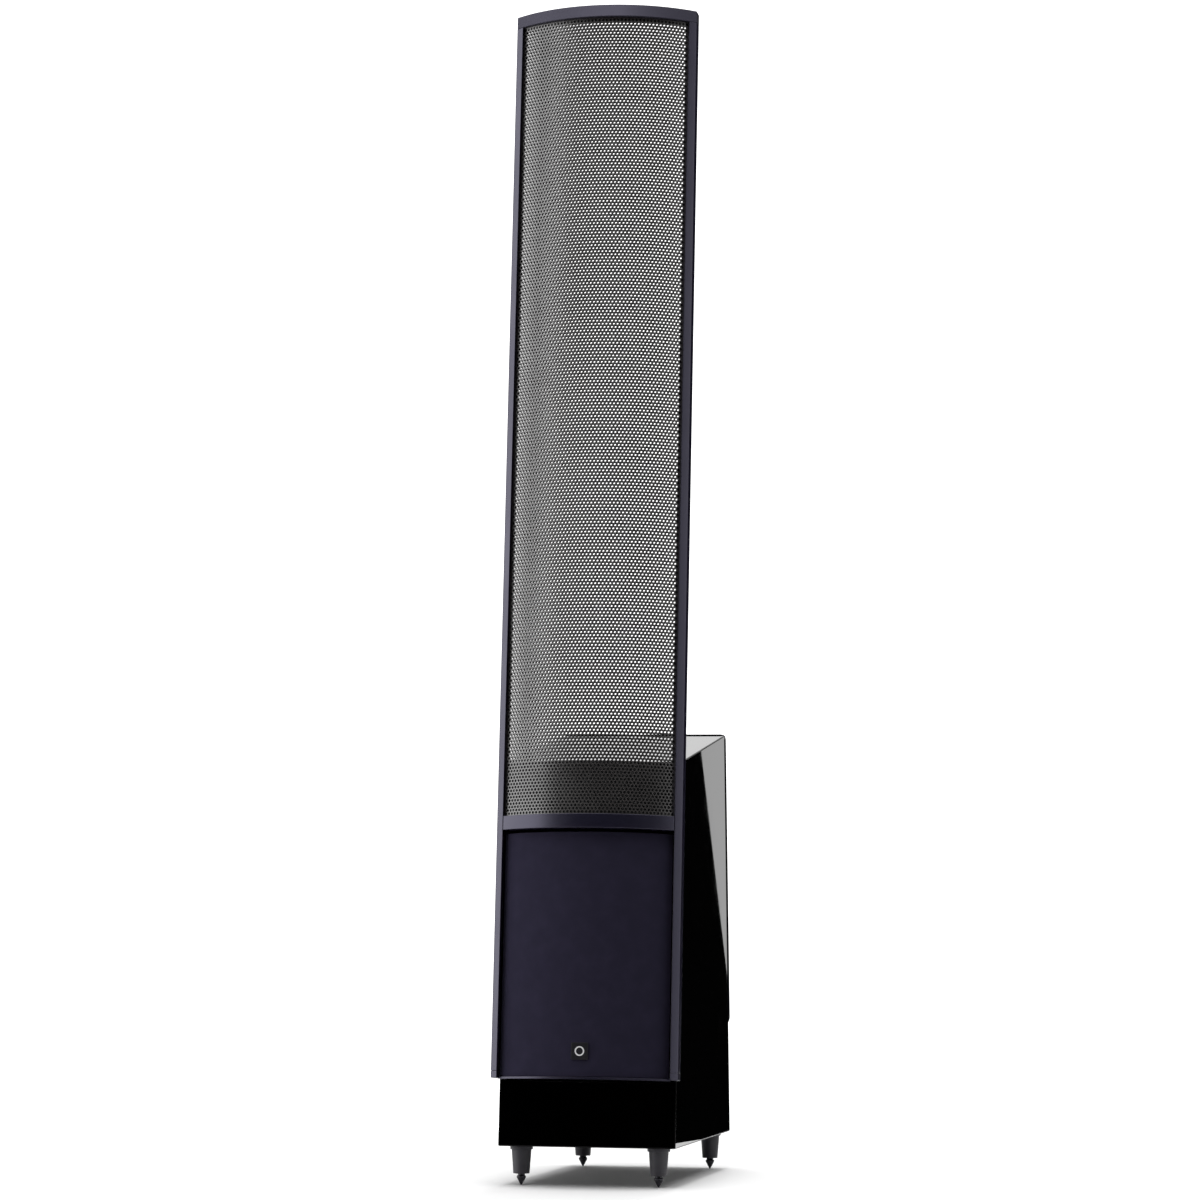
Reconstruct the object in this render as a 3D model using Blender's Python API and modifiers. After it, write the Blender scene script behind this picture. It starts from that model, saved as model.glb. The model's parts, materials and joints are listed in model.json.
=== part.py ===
"""A hybrid electrostatic floorstanding loudspeaker, in metres, +Z up, front towards -Y.

A tall bowed frame holds a see-through electrostatic panel. It leans back against a wedge-shaped
cabinet that houses a front and a rear woofer, and the cabinet stands on four adjustable spikes.
The origin is on the floor, below the middle of the whole speaker.
"""

from math import atan2, cos, pi, radians, sin, sqrt

import bmesh
import bpy
from mathutils import Matrix, Vector

# Overall size
HEIGHT = 1.501
WIDTH = 0.236
DEPTH = 0.536
GAP = 0.0003  # between pieces that touch

# Front frame, in its own leaning coordinates: u across, v up the frame, w out of its front
LEAN = radians(4.12)
BULGE = 0.0412  # how far the middle of the bow stands ahead of its ends
FRAME_FOOT_Z = 0.1342
HALF_FRAME = WIDTH / 2
BOW_RADIUS = (HALF_FRAME**2 + BULGE**2) / (2 * BULGE)
BOW_STEPS = 20
RAIL_INNER_U = 0.109
RAIL_SIDE_DEPTH = 0.018
CAP_HEIGHT = 0.0153
CAP_DEPTH = 0.024  # between the rails, behind the bowed front
END_CAP_HEIGHT = 0.0087
MID_RAIL_V = 0.3081
MID_RAIL_HEIGHT = 0.0176
MID_RAIL_DEPTH = 0.022
SILL_SETBACK = 0.006
SILL_BOTTOM_V = -0.0012
SILL_TOP_V = 0.0014

# Electrostatic panel: two curved stators, with the diaphragm in the middle of the gap
STATOR_SETBACK = 0.0055
STATOR_THICKNESS = 0.001
STATOR_SPACING = 0.004
SPACER_WIDTH = 0.0045
DIAPHRAGM_THICKNESS = 0.0004

# Cabinet, a wedge that leans with the frame in front and leans forward behind
CABINET_BOTTOM_Z = 0.049
CABINET_FRONT_SETBACK = 0.0203  # from the frame's foot back to the cabinet's lower front edge
CABINET_DEPTH = 0.465
CABINET_TOP_DEPTH = 0.3614
CABINET_FRONT_HEIGHT = 0.4803
CABINET_REAR_HEIGHT = 0.5325
CABINET_HALF_FRONT = 0.1120
CABINET_HALF_REAR = 0.1096
PANEL_THICKNESS = 0.015
FRONT_BAFFLE_THICKNESS = 0.018
REAR_BAFFLE_THICKNESS = 0.024
DIVIDER_Y = 0.003
DIVIDER_THICKNESS = 0.012

# Grilles and badge
GRILLE_SETBACK = 0.010
GRILLE_HALF_WIDTH = 0.106
GRILLE_TOP_V = 0.304
CLOTH_THICKNESS = 0.0009
GRILLE_PLATE_THICKNESS = 0.003
BADGE_V = 0.033
BADGE_SIZE = 0.021
BADGE_THICKNESS = 0.0012
REAR_GRILLE_THICKNESS = 0.008
REAR_GRILLE_START = 0.148  # distance up the sloping back where the grille begins
REAR_GRILLE_CORNER = 0.006

# Woofers
FRONT_WOOFER_V = 0.150
REAR_WOOFER_UP = 0.345
REAR_WOOFER_RECESS = 0.0145
BAFFLE_BORE_RADIUS = 0.0912
REAR_COUNTERBORE_RADIUS = 0.1032
ROUND_STEPS = 28
INNER_STEPS = 16

# Ports, feet and terminals
PORT_RADIUS = 0.033
PORT_WALL = 0.003
PORT_LENGTH = 0.115
PORT_YS = (-0.088, 0.112)
FOOT_X = 0.087
FOOT_INSETS = (0.025, 0.435)  # from the cabinet's lower front edge
FOOT_STUD_RADIUS = 0.004
FOOT_STUD_LENGTH = 0.012
FOOT_LENGTH = 0.0345
SPIKE_COLLAR_LENGTH = 0.0058
FOOT_STEPS = 16
TERMINAL_UP = 0.074
TERMINAL_SIZE = (0.110, 0.096, 0.003)
POST_X = 0.0115
POST_UPS = (0.055, 0.093)
POST_TIP_RADIUS = 0.0068
POST_STEPS = 12
INLET_X = 0.038

FRAME_FOOT_Y = -DEPTH / 2 + (BULGE - SILL_SETBACK) * cos(LEAN)
FRAME_LENGTH = (HEIGHT - FRAME_FOOT_Z - BULGE * sin(LEAN)) / cos(LEAN)
CABINET_FRONT_Y = FRAME_FOOT_Y + CABINET_FRONT_SETBACK
AXIS_X = Vector((1, 0, 0))
FRAME_UP = Vector((0, sin(LEAN), cos(LEAN)))
FRAME_OUT = Vector((0, -cos(LEAN), sin(LEAN)))
FRAME_FOOT = Vector((0, FRAME_FOOT_Y, FRAME_FOOT_Z))

FRONT_FOOT = Vector((CABINET_FRONT_Y, CABINET_BOTTOM_Z))
FRONT_TOP = FRONT_FOOT + CABINET_FRONT_HEIGHT * Vector((sin(LEAN) / cos(LEAN), 1))
REAR_FOOT = FRONT_FOOT + Vector((CABINET_DEPTH, 0))
REAR_TOP = Vector((FRONT_TOP.x + CABINET_TOP_DEPTH, CABINET_BOTTOM_Z + CABINET_REAR_HEIGHT))
REAR_LEAN = atan2(REAR_FOOT.x - REAR_TOP.x, REAR_TOP.y - REAR_FOOT.y)
REAR_LENGTH = (REAR_TOP - REAR_FOOT).length
CABINET_FACE_W = (Vector((0, *FRONT_FOOT)) - FRAME_FOOT).dot(FRAME_OUT)
RAIL_BACK_W = CABINET_FACE_W + GAP

PARTS = "floorstanding_speaker"
CUTTERS = "cutters"


def columns(x_axis, y_axis, z_axis, origin):
    """The matrix that puts local x, y and z along these axes, at this origin."""
    matrix = Matrix((x_axis, y_axis, z_axis)).transposed().to_4x4()
    matrix.translation = origin
    return matrix


REAR_UP = Vector((0, -sin(REAR_LEAN), cos(REAR_LEAN)))
REAR_OUT = Vector((0, cos(REAR_LEAN), sin(REAR_LEAN)))
FRAME_FACE = columns(AXIS_X, FRAME_UP, FRAME_OUT, FRAME_FOOT)
REAR_FACE = columns(-AXIS_X, REAR_UP, REAR_OUT, Vector((0, *REAR_FOOT)))


def clear_scene():
    for item in list(bpy.context.scene.objects):
        bpy.data.objects.remove(item, do_unlink=True)
    for name in (PARTS, CUTTERS):
        bpy.context.scene.collection.children.link(bpy.data.collections.new(name))


def material(name, color, roughness, metallic=0.0):
    made = bpy.data.materials.new(name)
    made.use_nodes = True
    shader = made.node_tree.nodes["Principled BSDF"]
    shader.inputs["Base Color"].default_value = (*color, 1.0)
    shader.inputs["Roughness"].default_value = roughness
    shader.inputs["Metallic"].default_value = metallic
    return made


def add_object(name, data, finish, place=None, collection=PARTS):
    item = bpy.data.objects.new(name, data)
    item.matrix_world = place or Matrix()
    item.data.materials.append(finish)
    bpy.data.collections[collection].objects.link(item)
    if collection == CUTTERS:
        item.hide_render = True
        item.display_type = "WIRE"
    return item


def mesh_from(bm, name):
    mesh = bpy.data.meshes.new(name)
    bm.to_mesh(mesh)
    bm.free()
    return mesh


def box(name, size, finish, place, collection=PARTS):
    """A box of this size, centred on its place."""
    bm = bmesh.new()
    bmesh.ops.create_cube(bm, size=1.0)
    bmesh.ops.scale(bm, vec=size, verts=bm.verts)
    return add_object(name, mesh_from(bm, name), finish, place, collection)


def bevel(item, width, segments=2):
    modifier = item.modifiers.new("rounded", "BEVEL")
    modifier.width = width
    modifier.segments = segments
    modifier.limit_method = "ANGLE"


def cut(item, cutter):
    modifier = item.modifiers.new(cutter.name, "BOOLEAN")
    modifier.operation = "DIFFERENCE"
    modifier.object = cutter


def drill(item, place, radius, length, steps):
    """Cuts a round hole that runs half its length each way along the place's z axis."""
    bm = bmesh.new()
    bmesh.ops.create_cone(bm, cap_ends=True, segments=steps, radius1=radius, radius2=radius, depth=length)
    name = f"{item.name}_hole_{len(item.modifiers)}"
    cut(item, add_object(name, mesh_from(bm, name), item.data.materials[0], place, CUTTERS))


def turned(name, profile, finish, place, steps=ROUND_STEPS):
    """A solid turned about its local z axis. The profile of (radius, height) runs down its outer side,
    and it is a closed loop unless it starts and ends on the axis."""
    bm = bmesh.new()
    corners = [bm.verts.new((radius, 0, height)) for radius, height in profile]
    closed = profile[0][0] > 0
    for start, end in zip(corners, corners[1:] + corners[:1] if closed else corners[1:]):
        bm.edges.new((start, end))
    item = add_object(name, mesh_from(bm, name), finish, place)
    spin = item.modifiers.new("turned", "SCREW")
    spin.steps = spin.render_steps = steps
    spin.use_merge_vertices = True
    spin.merge_threshold = 0.00002
    return item


def outline_prism(name, outline, thickness, finish, place):
    """A flat outline in local x and y, thickened evenly both ways along local z."""
    curve = bpy.data.curves.new(name, "CURVE")
    curve.dimensions = "2D"
    curve.fill_mode = "BOTH"
    curve.extrude = thickness / 2
    spline = curve.splines.new("POLY")
    spline.points.add(len(outline) - 1)
    spline.use_cyclic_u = True
    for point, (x, y) in zip(spline.points, outline):
        point.co = (x, y, 0, 1)
    return add_object(name, curve, finish, place)


def frame_prism(name, outline, low_v, high_v, finish):
    """An outline in u and w that runs up the frame from low_v to high_v."""
    middle = FRAME_FOOT + FRAME_UP * (low_v + high_v) / 2
    place = columns(AXIS_X, FRAME_OUT, -FRAME_UP, middle)
    return outline_prism(name, outline, high_v - low_v, finish, place)


def as_mesh(item):
    """The same prism as a welded mesh, which a Boolean can cut."""
    bpy.context.view_layer.update()
    evaluated = item.evaluated_get(bpy.context.evaluated_depsgraph_get())
    mesh = bpy.data.meshes.new_from_object(evaluated)
    bm = bmesh.new()
    bm.from_mesh(mesh)
    bmesh.ops.remove_doubles(bm, verts=bm.verts, dist=0.00001)
    bmesh.ops.recalc_face_normals(bm, faces=bm.faces)
    bm.to_mesh(mesh)
    bm.free()
    name, place, finish = item.name, item.matrix_world.copy(), item.data.materials[0]
    bpy.data.objects.remove(item, do_unlink=True)
    mesh.materials.clear()
    return add_object(name, mesh, finish, place)


def to_cutter(item):
    """Moves a piece to the cutters, where it is left out of the speaker."""
    bpy.data.collections[PARTS].objects.unlink(item)
    bpy.data.collections[CUTTERS].objects.link(item)
    item.hide_render = True
    item.display_type = "WIRE"
    return item


def bow(u, setback=0.0):
    """w of the bowed front at u, moved back by a setback."""
    return sqrt(BOW_RADIUS**2 - u * u) - (BOW_RADIUS - BULGE) - setback


def bow_points(half_width, setback):
    us = [half_width * (2 * step / BOW_STEPS - 1) for step in range(BOW_STEPS + 1)]
    return [(u, bow(u, setback)) for u in us]


def bowed_band(half_width, setback, thickness):
    """The outline of a curved sheet that follows the bow."""
    return bow_points(half_width, setback) + bow_points(half_width, setback + thickness)[::-1]


def mirrored(outline, side):
    return [(side * u, w) for u, w in outline]


def build_frame(finish):
    back = [(HALF_FRAME, -RAIL_SIDE_DEPTH), (CABINET_HALF_FRONT, RAIL_BACK_W)]
    rail_face_us = (HALF_FRAME, (HALF_FRAME + RAIL_INNER_U) / 2, RAIL_INNER_U)
    rail = [(u, bow(u)) for u in rail_face_us] + [(RAIL_INNER_U, RAIL_BACK_W)] + back[::-1]
    cap_v = FRAME_LENGTH - CAP_HEIGHT
    for side, word in ((-1, "left"), (1, "right")):
        outline = mirrored(rail, side)
        frame_prism(f"side_rail_{word}", outline, END_CAP_HEIGHT + GAP, cap_v - GAP, finish)
        frame_prism(f"rail_end_cap_{word}", outline, 0, END_CAP_HEIGHT, finish)
    inner_back = [(RAIL_INNER_U, RAIL_BACK_W)]
    cap = bow_points(HALF_FRAME, 0) + back + inner_back + bow_points(RAIL_INNER_U, CAP_DEPTH)[::-1]
    cap += mirrored(back + inner_back, -1)[::-1]
    frame_prism("top_cap", cap, cap_v, FRAME_LENGTH, finish)
    inner = RAIL_INNER_U - GAP
    mid_rail = bowed_band(inner, 0, MID_RAIL_DEPTH)
    frame_prism("mid_rail", mid_rail, MID_RAIL_V, MID_RAIL_V + MID_RAIL_HEIGHT, finish)
    sill = bow_points(inner, SILL_SETBACK) + [(inner, RAIL_BACK_W), (-inner, RAIL_BACK_W)]
    frame_prism("bottom_rail", sill, SILL_BOTTOM_V, SILL_TOP_V, finish)


def build_panel(stator_finish, spacer_finish, film_finish):
    low_v = MID_RAIL_V + MID_RAIL_HEIGHT + GAP
    high_v = FRAME_LENGTH - CAP_HEIGHT - GAP
    half = RAIL_INNER_U - GAP
    rear_setback = STATOR_SETBACK + STATOR_THICKNESS + STATOR_SPACING
    for name, setback in (("front_stator", STATOR_SETBACK), ("rear_stator", rear_setback)):
        frame_prism(name, bowed_band(half, setback, STATOR_THICKNESS), low_v, high_v, stator_finish)
    gap_start = STATOR_SETBACK + STATOR_THICKNESS
    spacer_band = bowed_band(half, gap_start + GAP, STATOR_SPACING - 2 * GAP)
    spacer = as_mesh(frame_prism("panel_spacer", spacer_band, low_v, high_v, spacer_finish))
    window_half = half - SPACER_WIDTH
    window_low, window_high = low_v + SPACER_WIDTH, high_v - SPACER_WIDTH
    window_band = bowed_band(window_half, gap_start - GAP, STATOR_SPACING + 2 * GAP)
    window = frame_prism("panel_window", window_band, window_low, window_high, spacer_finish)
    cut(spacer, to_cutter(as_mesh(window)))
    film_setback = gap_start + (STATOR_SPACING - DIAPHRAGM_THICKNESS) / 2
    film_band = bowed_band(window_half - GAP, film_setback, DIAPHRAGM_THICKNESS)
    frame_prism("diaphragm", film_band, window_low + GAP, window_high - GAP, film_finish)


def inset(line, distance):
    """A line of the cabinet's side view, as two (y, z) points, moved to its left."""
    start, end = line
    along = (end - start).normalized()
    shift = Vector((-along.y, along.x)) * distance
    return start + shift, end + shift


def meet(line, other):
    """Where two lines of the side view cross."""
    start, along = line[0], line[1] - line[0]
    origin, across = other[0], other[1] - other[0]
    scale = (origin - start).cross(across) / along.cross(across)
    return start + along * scale


def half_width(y):
    """Half the cabinet's width at this depth: it narrows a little towards the back."""
    share = (y - CABINET_FRONT_Y) / CABINET_DEPTH
    return CABINET_HALF_FRONT + (CABINET_HALF_REAR - CABINET_HALF_FRONT) * share


# The cabinet's outer faces in its side view, running round it with the inside on their left
BOTTOM_LINE = (FRONT_FOOT, REAR_FOOT)
REAR_LINE = (REAR_FOOT, REAR_TOP)
TOP_LINE = (REAR_TOP, FRONT_TOP)
FRONT_LINE = (FRONT_TOP, FRONT_FOOT)


def cabinet_block(name, front, rear, bottom, top, finish, sides):
    """A slab bounded by four lines of the side view. sides gives, for each of its two x faces,
    the side of the cabinet that it is on and how far it lies inside that side's outer face."""
    bm = bmesh.new()
    bmesh.ops.create_cube(bm, size=2.0)
    for vert in bm.verts:
        y, z = meet(rear if vert.co.y > 0 else front, top if vert.co.z > 0 else bottom)
        side, depth = sides[vert.co.x > 0]
        vert.co = (side * (half_width(y) - depth), y, z)
    return add_object(name, mesh_from(bm, name), finish)


def build_cabinet(gloss, board):
    wide = ((-1, 0), (1, 0))
    inner_depth = PANEL_THICKNESS + GAP
    between = ((-1, inner_depth), (1, inner_depth))
    front_wall = inset(FRONT_LINE, FRONT_BAFFLE_THICKNESS)
    rear_wall = inset(REAR_LINE, REAR_BAFFLE_THICKNESS)
    inner_front = inset(FRONT_LINE, FRONT_BAFFLE_THICKNESS + GAP)
    inner_rear = inset(REAR_LINE, REAR_BAFFLE_THICKNESS + GAP)
    floor_line = inset(BOTTOM_LINE, PANEL_THICKNESS)
    ceiling_line = inset(TOP_LINE, PANEL_THICKNESS)

    front = cabinet_block("front_baffle", FRONT_LINE, front_wall, BOTTOM_LINE, TOP_LINE, gloss, wide)
    rear = cabinet_block("rear_baffle", rear_wall, REAR_LINE, BOTTOM_LINE, TOP_LINE, gloss, wide)
    side_faces = {"left": ((-1, 0), (-1, PANEL_THICKNESS)), "right": ((1, PANEL_THICKNESS), (1, 0))}
    for word, sides in side_faces.items():
        cabinet_block(f"side_panel_{word}", inner_front, inner_rear, BOTTOM_LINE, TOP_LINE, gloss, sides)
    floor = cabinet_block("bottom_panel", inner_front, inner_rear, BOTTOM_LINE, floor_line, gloss, between)
    cabinet_block("top_panel", inner_front, inner_rear, ceiling_line, TOP_LINE, gloss, between)

    divider_y = Vector((DIVIDER_Y, 0))
    divider_front = (divider_y, divider_y + Vector((0, 1)))
    divider_rear = inset(divider_front, -DIVIDER_THICKNESS)
    above_floor = inset(BOTTOM_LINE, PANEL_THICKNESS + GAP)
    below_top = inset(TOP_LINE, PANEL_THICKNESS + GAP)
    cabinet_block("chamber_divider", divider_front, divider_rear, above_floor, below_top, board, between)

    drill(front, front_woofer_place(), BAFFLE_BORE_RADIUS, 4 * FRONT_BAFFLE_THICKNESS, ROUND_STEPS)
    drill(rear, rear_woofer_place(), BAFFLE_BORE_RADIUS, 4 * REAR_BAFFLE_THICKNESS, ROUND_STEPS)
    recess = REAR_FACE @ Matrix.Translation((0, REAR_WOOFER_UP, 0))
    drill(rear, recess, REAR_COUNTERBORE_RADIUS, 2 * REAR_WOOFER_RECESS, ROUND_STEPS)
    for y in PORT_YS:
        mouth = Matrix.Translation((0, y, CABINET_BOTTOM_Z))
        drill(floor, mouth, PORT_RADIUS + GAP, 4 * PANEL_THICKNESS, INNER_STEPS)
    for place in foot_places():
        drill(floor, place, FOOT_STUD_RADIUS + GAP, 2 * (FOOT_STUD_LENGTH + GAP), POST_STEPS)
    hatch_size = (TERMINAL_SIZE[0] - 0.03, TERMINAL_SIZE[1] - 0.03, 4 * REAR_BAFFLE_THICKNESS)
    hatch_place = REAR_FACE @ Matrix.Translation((0, TERMINAL_UP, 0))
    cut(rear, box("terminal_hatch", hatch_size, gloss, hatch_place, CUTTERS))


def build_ports(finish):
    inner = PORT_RADIUS - PORT_WALL
    profile = ((inner, PORT_LENGTH), (PORT_RADIUS, PORT_LENGTH), (PORT_RADIUS, 0), (inner, 0))
    for word, y in zip(("front", "rear"), PORT_YS):
        place = Matrix.Translation((0, y, CABINET_BOTTOM_Z))
        turned(f"port_tube_{word}", profile, finish, place, INNER_STEPS)


def build_front_grille(cloth, plate, badge):
    low_v = SILL_TOP_V + GAP
    cloth_band = bowed_band(GRILLE_HALF_WIDTH, GRILLE_SETBACK, CLOTH_THICKNESS)
    frame_prism("front_grille_cloth", cloth_band, low_v, GRILLE_TOP_V, cloth)
    plate_setback = GRILLE_SETBACK + CLOTH_THICKNESS + GAP
    plate_band = bowed_band(GRILLE_HALF_WIDTH, plate_setback, GRILLE_PLATE_THICKNESS)
    frame_prism("front_grille_plate", plate_band, low_v, GRILLE_TOP_V, plate)
    badge_w = bow(0, GRILLE_SETBACK) + GAP + BADGE_THICKNESS / 2
    badge_place = FRAME_FACE @ Matrix.Translation((0, BADGE_V, badge_w))
    bevel(box("badge", (BADGE_SIZE, BADGE_SIZE, BADGE_THICKNESS), badge, badge_place), 0.0003)


def rounded_rectangle(width, height, radius, steps=4):
    """The outline of a rectangle with round corners, centred on its origin."""
    outline = []
    for quarter, (side_x, side_y) in enumerate(((1, 1), (-1, 1), (-1, -1), (1, -1))):
        for step in range(steps + 1):
            angle = (quarter + step / steps) * pi / 2
            x = side_x * (width / 2 - radius) + radius * cos(angle)
            outline.append((x, side_y * (height / 2 - radius) + radius * sin(angle)))
    return outline


def build_rear_grille(cloth, plate):
    height = REAR_LENGTH - REAR_GRILLE_START
    outline = rounded_rectangle(2 * CABINET_HALF_REAR, height, REAR_GRILLE_CORNER)
    plate_thickness = REAR_GRILLE_THICKNESS - CLOTH_THICKNESS - 2 * GAP
    middle = REAR_FACE @ Matrix.Translation((0, REAR_GRILLE_START + height / 2, 0))
    for name, low, thickness, finish in (
        ("rear_grille_plate", GAP, plate_thickness, plate),
        ("rear_grille_cloth", plate_thickness + 2 * GAP, CLOTH_THICKNESS, cloth),
    ):
        place = middle @ Matrix.Translation((0, 0, low + thickness / 2))
        outline_prism(name, outline, thickness, finish, place)


def front_woofer_place():
    return FRAME_FACE @ Matrix.Translation((0, FRONT_WOOFER_V, CABINET_FACE_W))


def rear_woofer_place():
    return REAR_FACE @ Matrix.Translation((0, REAR_WOOFER_UP, -REAR_WOOFER_RECESS))


def half_roll(inner, outer, base, height, thickness, steps=4):
    """The profile of a round roll between two flat lips, as a closed loop that starts inside."""
    middle, radius = (inner + outer) / 2, (outer - inner) / 2
    angles = [pi - pi * step / steps for step in range(steps + 1)]
    top = [(middle + radius * cos(a), base + thickness + height * sin(a)) for a in angles]
    under = [(middle + (radius - thickness) * cos(a), base + height * sin(a)) for a in angles]
    lip = 0.003
    return (
        [(inner - lip, base + thickness)] + top + [(outer + lip, base + thickness)]
        + [(outer + lip, base)] + under[::-1] + [(inner - lip, base)]
    )


def corrugated(inner, outer, base, thickness, waves=2):
    """The profile of a ring with round waves, as a closed loop that starts inside."""
    steps = waves * 4
    radii = [inner + (outer - inner) * step / steps for step in range(steps + 1)]
    wave = [base + 0.0012 * sin(2 * pi * waves * step / steps) for step in range(steps + 1)]
    top = [(radius, height + thickness) for radius, height in zip(radii, wave)]
    return top + list(zip(radii, wave))[::-1]


def build_woofer(word, place, finishes):
    """A woofer with its front face towards +z of its place, and its mounting face at z 0."""
    basket = (
        (0.0875, 0.0040), (0.1022, 0.0040), (0.1022, GAP), (0.0903, GAP), (0.0880, -0.012),
        (0.0560, -0.052), (0.0520, -0.0590), (0.0300, -0.0590), (0.0300, -0.0565), (0.0505, -0.0565),
        (0.0860, -0.012), (0.0875, -0.002),
    )
    motor = (
        (0, -0.058), (0.0240, -0.058), (0.0240, -0.085), (0.0280, -0.085), (0.0280, -0.0593),
        (0.0500, -0.0593), (0.0500, -0.066), (0.0600, -0.066), (0.0600, -0.087), (0.0500, -0.087),
        (0.0500, -0.094), (0, -0.094),
    )
    cone = (
        (0.0275, -0.0300), (0.0735, 0.0038), (0.0750, 0.0038), (0.0750, 0.0028),
        (0.0740, 0.0028), (0.0277, -0.0312), (0.0268, -0.0312), (0.0268, -0.0300),
    )
    dome = [(0.031 * sin(a), -0.0324 + 0.0225 * cos(a)) for a in (radians(15.4 * k) for k in range(6))]
    shell = [(radius * 0.97, height - 0.001) for radius, height in dome[::-1]]
    coil = ((0.0252, -0.0308), (0.0264, -0.0308), (0.0264, -0.078), (0.0252, -0.078))
    rings = {
        "basket": (basket, ROUND_STEPS), "motor": (motor, INNER_STEPS), "cone": (cone, ROUND_STEPS),
        "dust_cap": (dome + shell, ROUND_STEPS), "voice_coil": (coil, INNER_STEPS),
        "surround": (half_roll(0.0745, 0.0865, 0.0043, 0.0050, 0.0008), ROUND_STEPS),
        "spider": (corrugated(0.0268, 0.0500, -0.0400, 0.0006), INNER_STEPS),
    }
    for piece, (profile, steps) in rings.items():
        turned(f"{word}_{piece}", profile, finishes[piece], place, steps)


def foot_places():
    for inset_y in FOOT_INSETS:
        for x in (-FOOT_X, FOOT_X):
            yield Matrix.Translation((x, CABINET_FRONT_Y + inset_y, CABINET_BOTTOM_Z))


def build_feet(body_finish, spike_finish):
    bore = FOOT_STUD_RADIUS + GAP
    body = (
        (0, FOOT_STUD_LENGTH), (FOOT_STUD_RADIUS, FOOT_STUD_LENGTH), (FOOT_STUD_RADIUS, -GAP),
        (0.01425, -GAP), (0.01425, -0.0045), (0.01235, -0.0045), (0.01015, -FOOT_LENGTH),
        (bore, -FOOT_LENGTH), (bore, -0.006), (0, -0.006),
    )
    collar_top = -FOOT_LENGTH - GAP
    collar_bottom = collar_top - SPIKE_COLLAR_LENGTH
    spike = (
        (0, -0.0085), (FOOT_STUD_RADIUS, -0.0085), (FOOT_STUD_RADIUS, collar_top), (0.0048, collar_top),
        (0.0048, collar_bottom), (0.0006, -CABINET_BOTTOM_Z), (0, -CABINET_BOTTOM_Z),
    )
    words = ("front_left", "front_right", "rear_left", "rear_right")
    for word, place in zip(words, foot_places()):
        turned(f"foot_{word}", body, body_finish, place, FOOT_STEPS)
        turned(f"spike_{word}", spike, spike_finish, place, FOOT_STEPS)


def build_terminals(plate_finish, metal, collar_finishes):
    plate_place = REAR_FACE @ Matrix.Translation((0, TERMINAL_UP, GAP + TERMINAL_SIZE[2] / 2))
    plate = box("terminal_plate", TERMINAL_SIZE, plate_finish, plate_place)
    plate_top = GAP + TERMINAL_SIZE[2]
    collar_top = plate_top + 0.005
    low_rim = REAR_FACE @ Vector((0, POST_UPS[0] - POST_TIP_RADIUS, 0))
    tip = (DEPTH / 2 - low_rim.y) / cos(REAR_LEAN)
    stud = (
        (0, tip - 0.002), (0.0027, tip - 0.002), (0.0027, collar_top), (0.0072, collar_top),
        (0.0072, plate_top - 0.001), (0.0027, plate_top - 0.001), (0.0027, -0.012), (0, -0.012),
    )
    low = collar_top + GAP
    knob = (
        (0.0030, tip), (POST_TIP_RADIUS, tip), (0.0076, tip - 0.0012), (0.0076, low + 0.0025),
        (0.0066, low), (0.0030, low),
    )
    for row, up in zip(("lower", "upper"), POST_UPS):
        for word, x in (("negative", POST_X), ("positive", -POST_X)):
            place = REAR_FACE @ Matrix.Translation((x, up, 0))
            shaft = to_cutter(turned(f"post_{row}_{word}", stud, metal, place, POST_STEPS))
            join = plate.modifiers.new(shaft.name, "BOOLEAN")
            join.operation = "UNION"
            join.object = shaft
            turned(f"post_knob_{row}_{word}", knob, collar_finishes[word], place, POST_STEPS)
    low = plate_top + GAP
    inlet = (
        (0, low + 0.0032), (0.0010, low + 0.0032), (0.0010, low + 0.001), (0.0028, low + 0.001),
        (0.0028, low + 0.004), (0.0060, low + 0.004), (0.0060, low), (0, low),
    )
    inlet_place = REAR_FACE @ Matrix.Translation((INLET_X, TERMINAL_UP, 0))
    turned("dc_inlet", inlet, plate_finish, inlet_place, POST_STEPS)


def build_electronics(board_finish, core_finish, copper, film_finish):
    floor_z = CABINET_BOTTOM_Z + PANEL_THICKNESS + GAP
    board_y = DIVIDER_Y + DIVIDER_THICKNESS + 0.004
    board_face = Matrix.Rotation(pi / 2, 4, "X")

    def standing(y, x, z):
        return Matrix.Translation((x, y, z)) @ board_face

    box("crossover_board", (0.150, 0.120, 0.0016), board_finish, standing(board_y, 0, 0.30))
    part_y = board_y + 0.0008 + GAP
    coil = ((0.012, 0), (0.024, 0), (0.024, -0.022), (0.012, -0.022))
    turned("woofer_inductor", coil, copper, standing(part_y, -0.040, 0.315), INNER_STEPS)
    can = ((0, 0), (0.014, 0), (0.014, -0.040), (0, -0.040))
    turned("crossover_capacitor", can, film_finish, standing(part_y, 0.035, 0.320), INNER_STEPS)
    core = (
        (0.012, 0.034), (0.032, 0.034), (0.036, 0.030), (0.036, 0.004), (0.032, 0), (0.012, 0),
        (0.010, 0.004), (0.010, 0.030),
    )
    transformer_place = Matrix.Translation((-0.050, 0.185, floor_z))
    turned("step_up_transformer", core, core_finish, transformer_place, INNER_STEPS)
    supply_place = Matrix.Translation((0.050, 0.180, floor_z + 0.010))
    bevel(box("bias_supply_board", (0.060, 0.080, 0.020), board_finish, supply_place), 0.002)


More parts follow.
